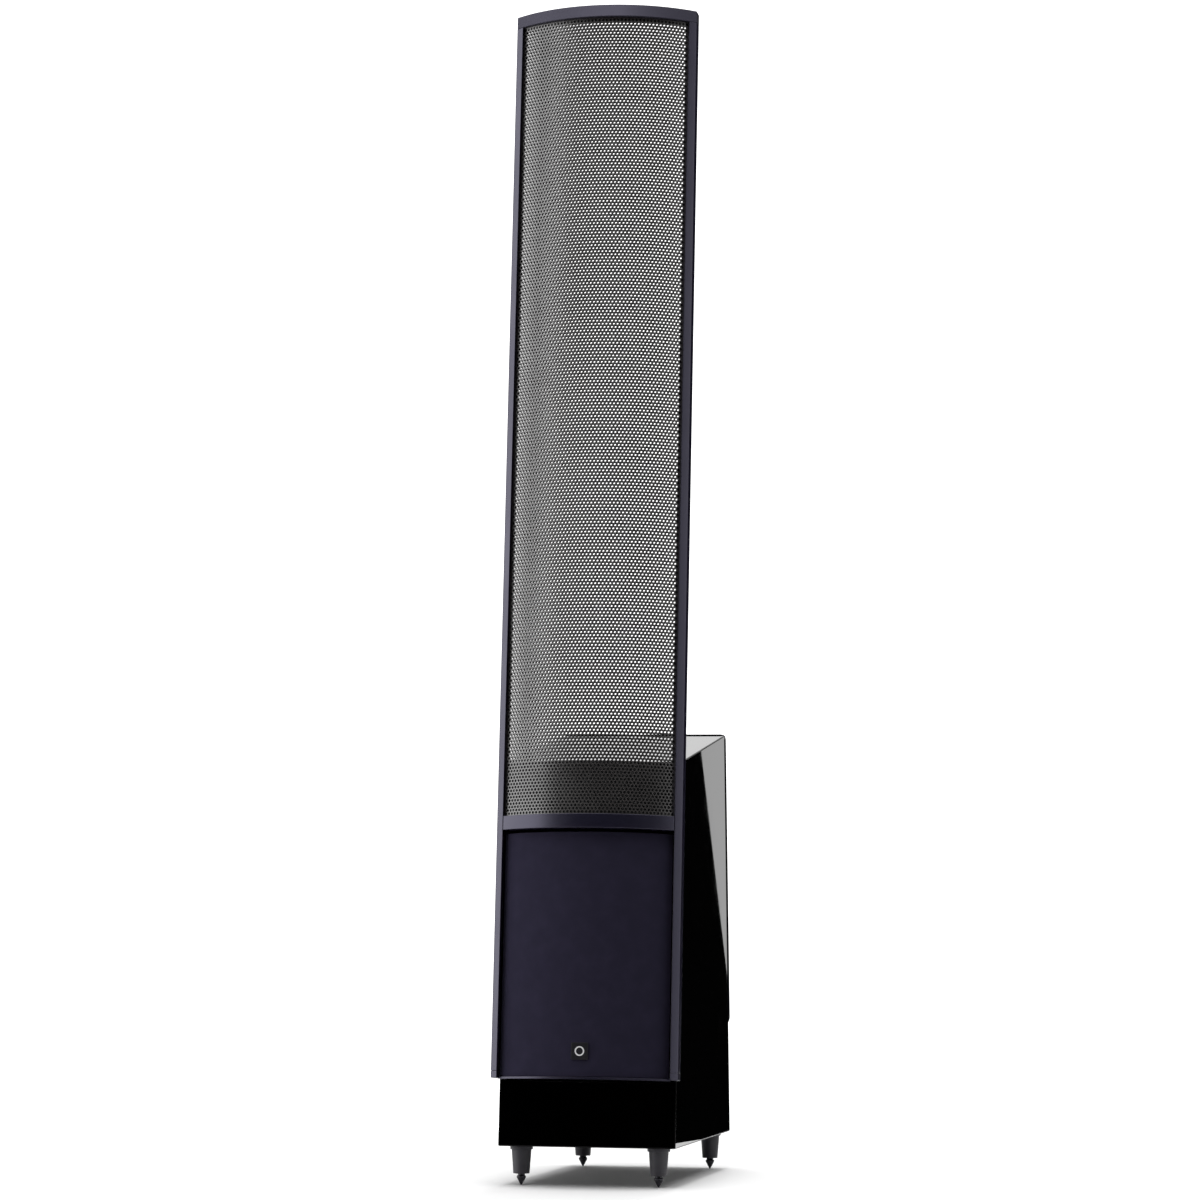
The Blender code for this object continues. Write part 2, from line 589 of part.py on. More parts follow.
def main():
    clear_scene()
    frame_metal = material("frame_metal", (0.058, 0.055, 0.078), 0.42, 0.55)
    stator_steel = material("stator_coating", (0.030, 0.028, 0.030), 0.45, 0.2)
    spacer_plastic = material("spacer_plastic", (0.010, 0.010, 0.011), 0.6)
    film = material("diaphragm_film", (0.60, 0.62, 0.64), 0.08)
    gloss = material("gloss_lacquer", (0.004, 0.004, 0.005), 0.04)
    board = material("inner_board", (0.36, 0.25, 0.15), 0.8)
    cloth = material("grille_cloth", (0.026, 0.024, 0.034), 0.95)
    plate = material("grille_plate", (0.012, 0.012, 0.013), 0.55, 0.3)
    badge = material("badge_metal", (0.050, 0.050, 0.058), 0.3, 0.8)
    basket = material("basket_metal", (0.020, 0.020, 0.021), 0.4, 0.6)
    ferrite = material("motor_steel", (0.050, 0.050, 0.052), 0.5, 0.5)
    cone = material("cone_metal", (0.030, 0.030, 0.034), 0.35, 0.7)
    rubber = material("surround_rubber", (0.012, 0.012, 0.012), 0.65)
    weave = material("spider_cloth", (0.42, 0.30, 0.12), 0.9)
    copper = material("copper_wire", (0.72, 0.33, 0.16), 0.35, 0.9)
    port = material("port_plastic", (0.012, 0.012, 0.012), 0.5)
    foot = material("foot_plastic", (0.045, 0.043, 0.052), 0.5, 0.1)
    spike = material("spike_steel", (0.030, 0.029, 0.033), 0.35, 0.7)
    plated = material("terminal_gold", (0.75, 0.55, 0.22), 0.25, 1.0)
    black = material("terminal_plastic", (0.014, 0.014, 0.015), 0.45)
    red = material("terminal_red", (0.45, 0.02, 0.02), 0.35)
    green = material("circuit_board", (0.02, 0.12, 0.05), 0.5)
    core = material("transformer_tape", (0.55, 0.42, 0.06), 0.5)

    build_frame(frame_metal)
    build_panel(stator_steel, spacer_plastic, film)
    build_cabinet(gloss, board)
    build_ports(port)
    build_front_grille(cloth, plate, badge)
    build_rear_grille(cloth, plate)
    woofer_finishes = {
        "basket": basket, "motor": ferrite, "cone": cone, "dust_cap": cone,
        "voice_coil": copper, "surround": rubber, "spider": weave,
    }
    build_woofer("front", front_woofer_place(), woofer_finishes)
    build_woofer("rear", rear_woofer_place(), woofer_finishes)
    build_feet(foot, spike)
    build_terminals(black, plated, {"negative": black, "positive": red})
    build_electronics(green, core, copper, film)


main()
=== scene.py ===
"""The looks of the floorstanding speaker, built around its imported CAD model.

Metres, +Z up, front towards -Y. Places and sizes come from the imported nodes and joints. Two local
frames do most of the work: FRAME_FACE (across, up the frame, out of its front) for everything that
leans with the tall panel, and REAR_FACE (across, up the sloping back, out of it) for the back.
"""

import json
from math import asin, copysign, cos, hypot, pi, radians, sin, sqrt

import bmesh
import bpy
import numpy as np
from mathutils import Matrix, Vector
from mathutils.geometry import intersect_line_line_2d


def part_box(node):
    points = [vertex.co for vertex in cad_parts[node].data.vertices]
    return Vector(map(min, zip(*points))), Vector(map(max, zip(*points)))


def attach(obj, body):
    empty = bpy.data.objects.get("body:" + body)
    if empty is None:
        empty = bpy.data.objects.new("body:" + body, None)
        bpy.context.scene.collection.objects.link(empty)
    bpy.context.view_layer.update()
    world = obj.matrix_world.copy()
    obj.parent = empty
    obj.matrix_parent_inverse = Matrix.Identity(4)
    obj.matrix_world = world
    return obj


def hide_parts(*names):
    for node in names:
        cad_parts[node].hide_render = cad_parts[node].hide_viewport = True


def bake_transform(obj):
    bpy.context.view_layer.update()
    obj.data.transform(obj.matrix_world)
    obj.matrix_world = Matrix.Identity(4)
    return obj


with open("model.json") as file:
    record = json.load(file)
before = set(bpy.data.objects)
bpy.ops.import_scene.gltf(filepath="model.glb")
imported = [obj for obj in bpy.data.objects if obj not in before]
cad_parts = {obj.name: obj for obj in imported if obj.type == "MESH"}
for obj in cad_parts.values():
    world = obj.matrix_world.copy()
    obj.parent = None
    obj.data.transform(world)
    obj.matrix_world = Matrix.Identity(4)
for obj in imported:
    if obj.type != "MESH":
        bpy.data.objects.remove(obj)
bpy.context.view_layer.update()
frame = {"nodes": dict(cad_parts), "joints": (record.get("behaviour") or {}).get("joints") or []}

NODES = frame["nodes"]
JOINTS = {joint["name"]: joint for joint in frame["joints"]}
SCENE = bpy.context.scene
moved = Matrix.Translation

# Camera
CAMERA_PLACE = Vector((0.8872, -4.8798, 0.3074))
CAMERA_YAW = radians(10.624)
CAMERA_PITCH = radians(5.093)
CAMERA_ROLL = radians(0.467)
CAMERA_LENS = 113.955
SENSOR_WIDTH = 36.0

# Frame and stators
RAIL_FILLET = 0.0011
EDGE_FILLET = 0.0005
BOW_STEPS = 96
HOLE_PITCH = 0.00475
HOLE_RADIUS = 0.00178
REAR_HOLE_RADIUS = 0.0014
REAR_SHIFT = (-0.00052, -0.00025)  # the rear sheet's holes against the front one's, across and up
REAR_STRETCH = 0.139  # and how the shift grows with the square of the distance from DRIFT_START
REAR_RISE = 1.0008  # and the rear sheet's row height against the front one's
DRIFT_START = 0.02
HOLE_SIDES = 12
ROW_MARGIN = 0.0004  # plain strip below the lowest row of holes, and at least as much above the highest
STATOR_BANDS = 4

# Cabinet
PANEL_THICKNESS = 0.015
FRONT_BAFFLE_THICKNESS = 0.018
REAR_BAFFLE_THICKNESS = 0.024
CABINET_FILLET = 0.0016
PORT_WALL = 0.003
FOOT_BORE = 0.0043
FOOT_WORDS = ("front_left", "front_right", "rear_left", "rear_right")
ROUND_STEPS = 96
FILLET_STEPS = 3

# Woofers: radii of the baffles' openings and, inner and outer, of the springs
WOOFER_OPENING = 0.0912
RECESS_RADIUS, RECESS_DEPTH = 0.1032, 0.029
SURROUND, SURROUND_SECTORS = (0.0745, 0.0865), 24
SPIDER, SPIDER_SECTORS = (0.0268, 0.05), 12

# Cloth
CLOTH_WRAP = 0.0035
CLOTH_THICKNESS = 0.0006
CLOTH_OVERHANG = 0.0008
REAR_CLOTH_OVERHANG = 0.0012
CLOTH_MAP = "along_cloth"  # the attribute that holds the distances along a cloth

# Surroundings: what reflections, diffuse surfaces and the camera see of the room
ROOM_DARK, ROOM_FILL, ROOM_WHITE = 0.001, 0.06, 1.6
CEILING_LOW, CEILING_HIGH, CEILING_LIGHT = 0.24, 0.75, 0.35  # where the ceiling's glow starts and peaks

SLACK = 0.0001  # for picking out corners that share a measure


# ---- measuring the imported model


def corners_of(node):
    return [vert.co.copy() for vert in NODES[node].data.vertices]


def furthest(node, direction):
    """The node's corner that lies furthest in a direction."""
    return max(corners_of(node), key=Vector(direction).dot)


def columns(x_axis, y_axis, z_axis, origin):
    """The matrix that puts local x, y and z along these axes."""
    matrix = Matrix((x_axis, y_axis, z_axis)).transposed().to_4x4()
    matrix.translation = origin
    return matrix


def corners_in(node, place):
    """The node's corners in a place's own coordinates."""
    inverse = place.inverted()
    return [inverse @ corner for corner in corners_of(node)]


def span(node, place):
    """The node's lowest and highest values in a place's own coordinates."""
    points = np.array(corners_in(node, place))
    return Vector(points.min(0)), Vector(points.max(0))


def middle_of(node, face, out):
    """A face's frame moved to the middle of a node that lies on it, this far out of it."""
    low, high = span(node, face)
    return face @ moved(((low.x + high.x) / 2, (low.y + high.y) / 2, out))


def upright(node, z):
    """The middle line of an upright round node, at this height."""
    low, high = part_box(node)
    return moved(((low.x + high.x) / 2, (low.y + high.y) / 2, z))


AXIS_X = Vector((1, 0, 0))
FRAME_OUT = Vector(JOINTS["front_grille_pull"]["axis"]).normalized()
FRAME_UP = Vector((0, FRAME_OUT.z, -FRAME_OUT.y))
REAR_OUT = Vector(JOINTS["rear_grille_pull"]["axis"]).normalized()
REAR_UP = Vector((0, -REAR_OUT.z, REAR_OUT.y))
FRAME_FOOT = furthest("rail_end_cap_left", (-1, -0.01, -0.1))
FRAME_FACE = columns(AXIS_X, FRAME_UP, FRAME_OUT, Vector((0, FRAME_FOOT.y, FRAME_FOOT.z)))
REAR_FOOT = furthest("rear_baffle", (0, 1, -0.1))
REAR_FACE = columns(-AXIS_X, REAR_UP, REAR_OUT, Vector((0, REAR_FOOT.y, REAR_FOOT.z)))

CAP_LOW, CAP_HIGH = span("top_cap", FRAME_FACE)
HALF_FRAME, BULGE = CAP_HIGH.x, CAP_HIGH.z
BOW_RADIUS = (HALF_FRAME**2 + BULGE**2) / (2 * BULGE)
CAP_CORNERS = corners_in("top_cap", FRAME_FACE)
SIDE_DEPTH = min(point.z for point in CAP_CORNERS if point.x > HALF_FRAME - SLACK)
CAP_BACK_U = max(point.x for point in CAP_CORNERS if point.z < CAP_LOW.z + SLACK)
RAIL_LOW = span("side_rail_right", FRAME_FACE)[0]
RAIL_INNER = RAIL_LOW.x


def bow(u, setback=0.0):
    """How far the bowed front stands out at u, moved back by a setback."""
    return sqrt(BOW_RADIUS**2 - u * u) - (BOW_RADIUS - BULGE) - setback


# ---- meshes


def add_mesh(name, mesh, look, place=None):
    """A new object with one of the LOOKS."""
    item = bpy.data.objects.new(name, mesh)
    item.data.materials.clear()
    item.data.materials.append(LOOKS[look])
    item.matrix_world = place or Matrix()
    SCENE.collection.objects.link(item)
    return item


def mesh_of(name, points, faces):
    mesh = bpy.data.meshes.new(name)
    mesh.from_pydata(points, [], faces)
    mesh.validate()
    return mesh


def smooth(item, angle=35):
    item.data.shade_smooth()
    item.data.set_sharp_from_angle(angle=radians(angle))
    weigh = item.modifiers.new("face normals", "WEIGHTED_NORMAL")
    weigh.keep_sharp = True
    return item


def round_edges(item, width, angle=35):
    """Rounds the sharp edges, and keeps the large faces flat in the light."""
    edges = item.modifiers.new("rounded", "BEVEL")
    edges.width, edges.segments = width, 3
    edges.limit_method, edges.angle_limit = "ANGLE", radians(angle)
    return smooth(item, angle)


def settle(item):
    """Applies an object's modifiers to its mesh."""
    bpy.context.view_layer.update()
    evaluated = item.evaluated_get(bpy.context.evaluated_depsgraph_get())
    mesh = bpy.data.meshes.new_from_object(evaluated)
    item.modifiers.clear()
    item.data = mesh
    return item


def cut(item, cutter):
    """Cuts one piece with another, which is then removed."""
    modifier = item.modifiers.new("cut", "BOOLEAN")
    modifier.operation, modifier.object = "DIFFERENCE", cutter
    settle(item)
    bpy.data.objects.remove(cutter, do_unlink=True)


def joined(name, items):
    """Several objects as one, in the first one's place."""
    with bpy.context.temp_override(active_object=items[0], selected_editable_objects=items):
        bpy.ops.object.join()
    items[0].name = name
    return items[0]


def filleted(points, radius, closed=True):
    """An outline with its corners rounded: each corner gives way to a short curve."""
    count = len(points)
    made = []
    for index, here in enumerate(points):
        if not closed and index in (0, count - 1):
            made.append(here)
            continue
        here = Vector(here)
        before = Vector(points[index - 1]) - here
        after = Vector(points[(index + 1) % count]) - here
        if before.angle(-after, 0) < radians(12):
            made.append(tuple(here))
            continue
        start = here + before.normalized() * min(radius, before.length * 0.45)
        end = here + after.normalized() * min(radius, after.length * 0.45)
        for step in range(FILLET_STEPS + 1):
            share = step / FILLET_STEPS
            made.append(tuple(start * (1 - share) ** 2 + here * 2 * share * (1 - share) + end * share**2))
    return made


def prism(name, outline, low, high, look, place):
    """A flat outline in local x and y that runs from low to high along local z."""
    count = len(outline)
    points = [(x, y, z) for z in (low, high) for x, y in outline]
    faces = [tuple(range(count))[::-1], tuple(range(count, 2 * count))]
    faces += [(k, (k + 1) % count, (k + 1) % count + count, k + count) for k in range(count)]
    return outward(add_mesh(name, mesh_of(name, points, faces), look, place))


def outward(item):
    """Turns the faces outwards and welds loose seams."""
    bm = bmesh.new()
    bm.from_mesh(item.data)
    bmesh.ops.remove_doubles(bm, verts=bm.verts, dist=0.000001)
    bmesh.ops.recalc_face_normals(bm, faces=bm.faces)
    bm.to_mesh(item.data)
    bm.free()
    return item


def frame_prism(name, outline, low_v, high_v, look="frame", edge=EDGE_FILLET):
    """A bar of the frame: an outline seen from above it, that runs up the frame."""
    place = columns(-AXIS_X, FRAME_OUT, FRAME_UP, FRAME_FACE.translation)
    item = prism(name, [(-u, w) for u, w in outline], low_v, high_v, look, place)
    return round_edges(item, edge, angle=50)


def turned(name, profile, look, place, steps=ROUND_STEPS, ribs=0, rib_depth=0.0, arc=(0, 2 * pi)):
    """A solid turned about local z. The profile is a loop of (radius, height), open where it starts
    and ends on the axis. Ribs make its round sides fluted. A shorter arc makes a sector of it."""
    whole = arc[1] - arc[0] > 2 * pi - 0.001
    angles = [arc[0] + (arc[1] - arc[0]) * k / steps for k in range(steps if whole else steps + 1)]
    points = []
    for angle in angles:
        swell = 1 + rib_depth * cos(ribs * angle)
        points += [(r * swell * cos(angle), r * swell * sin(angle), z) for r, z in profile]
    count, rows = len(profile), len(angles)
    closed = min(profile[0][0], profile[-1][0]) > 0
    faces = []
    for row in range(rows if whole else rows - 1):
        here, there = row * count, (row + 1) % rows * count
        for k in range(count if closed else count - 1):
            after = (k + 1) % count
            faces.append((here + k, here + after, there + after, there + k))
    return smooth(outward(add_mesh(name, mesh_of(name, points, faces), look, place)))


def drill(item, place, radius, length):
    """Cuts a round hole that runs half its length each way along the place's z."""
    profile = [(0, length / 2), (radius, length / 2), (radius, -length / 2), (0, -length / 2)]
    bit = turned("bit", profile, "gloss", place)
    bit.modifiers.clear()
    cut(item, bit)


def rounded_rectangle(width, height, radius, steps=8):
    outline = []
    for quarter, (side_x, side_y) in enumerate(((1, 1), (-1, 1), (-1, -1), (1, -1))):
        for step in range(steps + 1):
            angle = (quarter + step / steps) * pi / 2
            x = side_x * (width / 2 - radius) + radius * cos(angle)
            outline.append((x, side_y * (height / 2 - radius) + radius * sin(angle)))
    return outline


def piece(item, body, slot, *nodes):
    """Rides a finished piece on its body, and hides the nodes that it stands for. The slot is not used."""
    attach(item, body)
    if nodes:
        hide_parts(*nodes)
    return item


def screws(name, profile, spots):
    """Screw heads, joined as one piece."""
    heads = [turned("head", profile, "steel", spot, 24) for spot in spots]
    piece(joined(name, heads), "root", "spike_steel")


# ---- materials


class Finish:
    """A Principled material, with short ways to drive its sockets from textures."""

    def __init__(self, name, color, roughness, metallic=0.0, **sockets):
        self.material = bpy.data.materials.new(name + "_look")
        self.material.use_nodes = True
        self.tree = self.material.node_tree
        self.shader = self.tree.nodes["Principled BSDF"]
        self.color = color
        self.shader.inputs["Base Color"].default_value = (*color, 1)
        self.shader.inputs["Roughness"].default_value = roughness
        self.shader.inputs["Metallic"].default_value = metallic
        for socket, value in sockets.items():
            self.shader.inputs[socket.replace("_", " ")].default_value = value

    def node(self, kind, **settings):
        made = self.tree.nodes.new("ShaderNode" + kind)
        for key, value in settings.items():
            if key in made.inputs:
                made.inputs[key].default_value = value
            else:
                setattr(made, key, value)
        return made

    def link(self, source, target):
        self.tree.links.new(source, target)

    def place(self, attribute=None):
        """Where on the piece a point is: in its own metres, or along its cloth."""
        if attribute:
            return self.node("Attribute", attribute_name=attribute).outputs["Vector"]
        return self.node("TexCoord").outputs["Object"]

    def noise(self, scale, detail=3.0, attribute=None):
        made = self.node("TexNoise", Scale=scale, Detail=detail)
        self.link(self.place(attribute), made.inputs["Vector"])
        return made.outputs["Fac"]

    def math(self, operation, *values):
        made = self.node("Math", operation=operation)
        for socket, value in zip(made.inputs, values):
            if isinstance(value, (int, float)):
                socket.default_value = value
            else:
                self.link(value, socket)
        return made.outputs[0]

    def wave(self, source, period):
        return self.math("SINE", self.math("MULTIPLY", source, 2 * pi / period))

    def shade(self, source, darker, lighter):
        """Varies the colour between a darker and a lighter share of itself."""
        ramp = self.node("ValToRGB")
        for stop, position, share in zip(ramp.color_ramp.elements, (0.3, 0.7), (darker, lighter)):
            stop.position = position
            stop.color = (*(min(1.0, value * share) for value in self.color), 1)
        self.link(source, ramp.inputs["Fac"])
        self.link(ramp.outputs["Color"], self.shader.inputs["Base Color"])

    def roughen(self, source, low, high):
        made = self.node("MapRange")
        for key, value in zip(("From Min", "From Max", "To Min", "To Max"), (0.35, 0.65, low, high)):
            made.inputs[key].default_value = value
        self.link(source, made.inputs["Value"])
        self.link(made.outputs[0], self.shader.inputs["Roughness"])

    def bump(self, source, distance, strength):
        made = self.node("Bump", Distance=distance, Strength=strength)
        self.link(source, made.inputs["Height"])
        self.link(made.outputs["Normal"], self.shader.inputs["Normal"])


def powder_coat(name, color, roughness, metallic=0.0, grain=1900, height=0.00002, **sockets):
    """A satin coat with a fine grain and slow changes of gloss."""
    made = Finish(name, color, roughness, metallic, **sockets)
    made.shade(made.noise(9), 0.93, 1.07)
    made.roughen(made.noise(14), roughness - 0.03, roughness + 0.03)
    made.bump(made.noise(grain, 2), height, 0.5)
    return made.material


def moulded(name, color, roughness, grain=1400, height=0.00005):
    """Moulded plastic or rubber with a spark-eroded texture."""
    made = Finish(name, color, roughness)
    made.shade(made.noise(25), 0.88, 1.14)
    made.roughen(made.noise(60), roughness - 0.06, roughness + 0.06)
    made.bump(made.noise(grain, 4), height, 0.7)
    return made.material


def lacquer():
    """Deep polished lacquer with the faintest orange peel."""
    made = Finish("gloss_lacquer", (0.0006, 0.0006, 0.0008), 0.01, IOR=1.5)
    made.shade(made.noise(5), 0.9, 1.1)
    made.roughen(made.noise(18), 0.006, 0.014)
    made.bump(made.noise(30, 1), 0.000001, 0.1)
    return made.material


def knit(name, color, thread):
    """A stretched acoustic knit: rows of small loops with slack and tight places."""
    made = Finish(name, color, 0.92, Sheen_Weight=0.02, Sheen_Roughness=0.45, Specular_IOR_Level=0.05)
    where = made.node("SeparateXYZ")
    made.link(made.place(CLOTH_MAP), where.inputs[0])
    across = made.wave(where.outputs["X"], thread)
    rows = made.math("MULTIPLY", where.outputs["Y"], 2 * pi / (thread * 0.8))
    sway = made.math("MULTIPLY", across, 0.9)
    along = made.math("SINE", made.math("ADD", rows, sway))
    loops = made.math("MULTIPLY", made.math("ADD", across, 1.0), made.math("ADD", along, 1.0))
    fibre = made.noise(5200, 2, CLOTH_MAP)
    height = made.math("ADD", made.math("MULTIPLY", loops, 0.25), made.math("MULTIPLY", fibre, 0.5))
    slub = made.noise(45, 2, CLOTH_MAP)
    tone = made.math("ADD", made.math("MULTIPLY", height, 0.4), made.math("MULTIPLY", slub, 0.4))
    made.shade(tone, 0.78, 1.22)
    made.bump(height, thread * 0.28, 0.6)
    return made.material


def grooved(name, color, roughness, metallic, spacing, height):
    """Metal turned on a lathe, or a winding: fine rings about local z."""
    made = Finish(name, color, roughness, metallic)
    flat = made.node("VectorMath", operation="MULTIPLY")
    flat.inputs[1].default_value = (1, 1, 0)
    made.link(made.place(), flat.inputs[0])
    length = made.node("VectorMath", operation="LENGTH")
    made.link(flat.outputs["Vector"], length.inputs[0])
    rings = made.wave(length.outputs["Value"], spacing)
    made.shade(made.noise(40), 0.85, 1.15)
    made.roughen(made.noise(200), roughness - 0.05, roughness + 0.05)
    made.bump(rings, height, 0.6)
    return made.material


def woven(name, color, thread):
    """A stiff varnished weave, as on a woofer's spider."""
    made = Finish(name, color, 0.7)
    where = made.node("SeparateXYZ")
    made.link(made.place(), where.inputs[0])
    warp = made.wave(where.outputs["X"], thread)
    weft = made.wave(where.outputs["Z"], thread)
    cross = made.math("MULTIPLY", warp, weft)
    made.shade(made.noise(70), 0.8, 1.2)
    made.bump(cross, thread * 0.25, 0.8)
    return made.material


def film():
    """The clear diaphragm."""
    made = Finish("diaphragm_film", (0.9, 0.92, 0.95), 0.05, Alpha=0.03, IOR=1.4)
    made.roughen(made.noise(30), 0.03, 0.09)
    return made.material


def studio_floor():
    """White paper that throws little light back up. It glows faintly: painted light that lifts the shadow under the
    speaker.
    """
    made = Finish("studio_floor", (0.84, 0.84, 0.84), 0.9, Specular_IOR_Level=0.0, Emission_Strength=0.05)
    made.shader.inputs["Emission Color"].default_value = (1, 1, 1, 1)
    bounce = made.node("Mix", data_type="RGBA")
    bounce.inputs[6].default_value = (*made.color, 1)
    bounce.inputs[7].default_value = (0.12, 0.12, 0.12, 1)
    made.link(made.node("LightPath").outputs["Is Diffuse Ray"], bounce.inputs[0])
    made.link(bounce.outputs[2], made.shader.inputs["Base Color"])
    return made.material


PAINTED_COOL_REFLECTION = (0.8, 0.77, 1.0, 1.0)  # painted reflection: a cool tint on the charcoal coat's reflections, standing in for the bluish studio light

LOOKS = {
    "frame": powder_coat("frame_metal", (0.0045, 0.004, 0.0115), 0.34, Specular_Tint=PAINTED_COOL_REFLECTION, IOR=1.6),
    "cap": powder_coat("frame_cap", (0.008, 0.0075, 0.012), 0.62, Specular_Tint=PAINTED_COOL_REFLECTION, IOR=1.5),
    "stator": powder_coat("stator_coating", (0.022, 0.019, 0.019), 0.36, grain=2600, IOR=1.9),
    # painted shade: the rear sheet, in shade behind the front one, gets a darker, duller copy of the same coating
    "rear_stator": powder_coat("rear_stator", (0.003, 0.003, 0.003), 0.5, grain=2600, Specular_IOR_Level=0.15),
    "spacer": moulded("spacer_plastic", (0.01, 0.01, 0.011), 0.6),
    "film": film(),
    "gloss": lacquer(),
    "gloss_edge": powder_coat("polished_edge", (0.0012, 0.0012, 0.0015), 0.3, Specular_IOR_Level=0.12),
    # painted light: the cabinet's top faces get a much lighter copy of the black lacquer, so they read lighter than
    # the sides
    "gloss_top_painted_light": powder_coat("polished_top_painted_light", (0.03, 0.03, 0.031), 0.06, height=0.0),
    "board": moulded("inner_board", (0.3, 0.21, 0.13), 0.85, grain=700, height=0.0001),
    "cloth": knit("grille_cloth", (0.028, 0.025, 0.047), 0.00075),
    "rear_cloth": knit("rear_grille_cloth", (0.008, 0.0075, 0.011), 0.00075),
    "plate": powder_coat("grille_plate", (0.012, 0.012, 0.013), 0.55),
    "badge": powder_coat("badge_metal", (0.03, 0.029, 0.034), 0.3, 0.6),
    "badge_mark": powder_coat("badge_mark", (0.85, 0.85, 0.86), 0.4, grain=4000),
    "basket": powder_coat("basket_metal", (0.02, 0.02, 0.021), 0.42, 0.5, height=0.00004),
    "ferrite": moulded("motor_steel", (0.05, 0.05, 0.052), 0.5),
    "cone": grooved("cone_metal", (0.045, 0.045, 0.05), 0.32, 0.85, 0.0006, 0.00001),
    "rubber": moulded("surround_rubber", (0.013, 0.013, 0.013), 0.6),
    "spider": woven("spider_cloth", (0.42, 0.3, 0.12), 0.0009),
    "copper": grooved("copper_wire", (0.72, 0.33, 0.16), 0.32, 0.95, 0.0008, 0.0001),
    "port": moulded("port_plastic", (0.013, 0.013, 0.013), 0.45),
    "foot": moulded("foot_plastic", (0.026, 0.024, 0.032), 0.5, grain=1800, height=0.00003),
    "spike": grooved("spike_steel", (0.035, 0.034, 0.04), 0.3, 0.8, 0.0004, 0.00001),
    "gold": grooved("terminal_gold", (0.75, 0.55, 0.22), 0.22, 1.0, 0.0005, 0.00001),
    "steel": grooved("screw_steel", (0.06, 0.06, 0.063), 0.35, 0.9, 0.0005, 0.00001),
    "black": moulded("terminal_plastic", (0.014, 0.014, 0.015), 0.42),
    "red": moulded("terminal_red", (0.42, 0.02, 0.02), 0.32),
    "circuit": powder_coat("circuit_board", (0.02, 0.12, 0.05), 0.4, grain=900),
    "tape": grooved("transformer_tape", (0.55, 0.42, 0.06), 0.5, 0.0, 0.006, 0.0002),
    "wrap": moulded("capacitor_film", (0.6, 0.62, 0.64), 0.2, grain=300),
    "floor": studio_floor(),
}


# ---- the frame


def build_frame():
    """Returns the rails, their end caps and last the top cap."""
    fine = [RAIL_INNER + (HALF_FRAME - RAIL_INNER) * k / 6 for k in range(7)]
    flank = [(HALF_FRAME, SIDE_DEPTH), (CAP_BACK_U, RAIL_LOW.z), (RAIL_INNER, RAIL_LOW.z)]
    items = []
    for word, side in (("left", -1), ("right", 1)):
        outline = [(side * u, w) for u, w in filleted([(u, bow(u)) for u in fine] + flank, RAIL_FILLET)]
        for node in (f"side_rail_{word}", f"rail_end_cap_{word}"):
            low, high = span(node, FRAME_FACE)
            item = frame_prism(node + "_finished", outline, low.y, high.y)
            items.append(piece(item, "root", "frame_metal", node))
    steps = [2 * k / BOW_STEPS - 1 for k in range(BOW_STEPS + 1)]
    cap = [(HALF_FRAME * step, bow(HALF_FRAME * step)) for step in steps] + flank
    cap += [(-RAIL_INNER * step, bow(RAIL_INNER * step, corner_depth("top_cap"))) for step in steps]
    cap = filleted(cap + [(-u, w) for u, w in flank[::-1]], RAIL_FILLET)
    item = frame_prism("top_cap_finished", cap, CAP_LOW.y, CAP_HIGH.y, "cap", 0.0007)
    items.append(piece(item, "root", "frame_metal", "top_cap"))
    for node, edge in (("mid_rail", 0.0006), ("bottom_rail", 0.0004)):
        low, high = span(node, FRAME_FACE)
        us = [low.x + (high.x - low.x) * k / BOW_STEPS for k in range(BOW_STEPS + 1)]
        setback = bow(0) - high.z
        depth = corner_depth(node)
        rear = [(u, bow(u, setback + depth)) for u in us[::-1]] if depth else [(high.x, low.z), (low.x, low.z)]
        item = frame_prism(node + "_finished", [(u, bow(u, setback)) for u in us] + rear, low.y, high.y, edge=edge)
        piece(item, "root", "frame_metal", node)
    return items


def corner_depth(node):
    """How deep a bowed bar is at its end, or 0 where its back is flat."""
    low, high = span(node, FRAME_FACE)
    middle = min(point.z for point in corners_in(node, FRAME_FACE) if abs(point.x) < 0.02)
    return high.z - middle if middle > low.z + 0.001 else 0


# ---- perforated sheets


def perforated(
    name, half_width, low_v, high_v, setback, thickness, pitch, radius, sides, look, bands, margins,
    shift=0.0, stretch=0.0, rise=1.0,
):
    """A bowed sheet with staggered round holes, in bands, each a closed mesh. Each hole has a cell
    one pitch wide and one row high; odd rows are moved by half a pitch."""
    row_height = pitch * rise * sqrt(3) / 2
    half_arc = BOW_RADIUS * asin(half_width / BOW_RADIUS)
    cells = int(2 * (half_arc - 0.001) / pitch)
    start = -cells * pitch / 2
    rows = int((high_v - margins[1] - low_v - margins[0]) / row_height)
    first = low_v + margins[0]
    line = np.array([-half_arc] + [start + k * pitch / 2 for k in range(2 * cells + 1)] + [half_arc])
    line[1:-1] += shift + stretch * np.minimum(0, line[1:-1] - DRIFT_START) ** 2
    items = []
    for band in range(bands):
        begin, end = band * rows // bands, (band + 1) * rows // bands
        below = low_v if band == 0 else None
        above = high_v if band == bands - 1 else None
        flat, faces = sheet_pattern(line, cells, begin, end, first, row_height, radius, sides, below, above)
        count = len(flat)
        angle = flat[:, 0] / BOW_RADIUS
        out = BOW_RADIUS * np.cos(angle) - (BOW_RADIUS - BULGE) - setback
        across = BOW_RADIUS * np.sin(angle)
        layers = [np.stack([across, flat[:, 1], out - depth], 1) for depth in (0, thickness)]
        walls = [(b, a, a + count, b + count) for a, b in open_edges(faces)]
        back = [tuple(k + count for k in face[::-1]) for face in faces]
        mesh = mesh_of(name, np.concatenate(layers).tolist(), faces + back + walls)
        items.append(add_mesh(f"{name}_{band + 1}", mesh, look, FRAME_FACE))
    return items


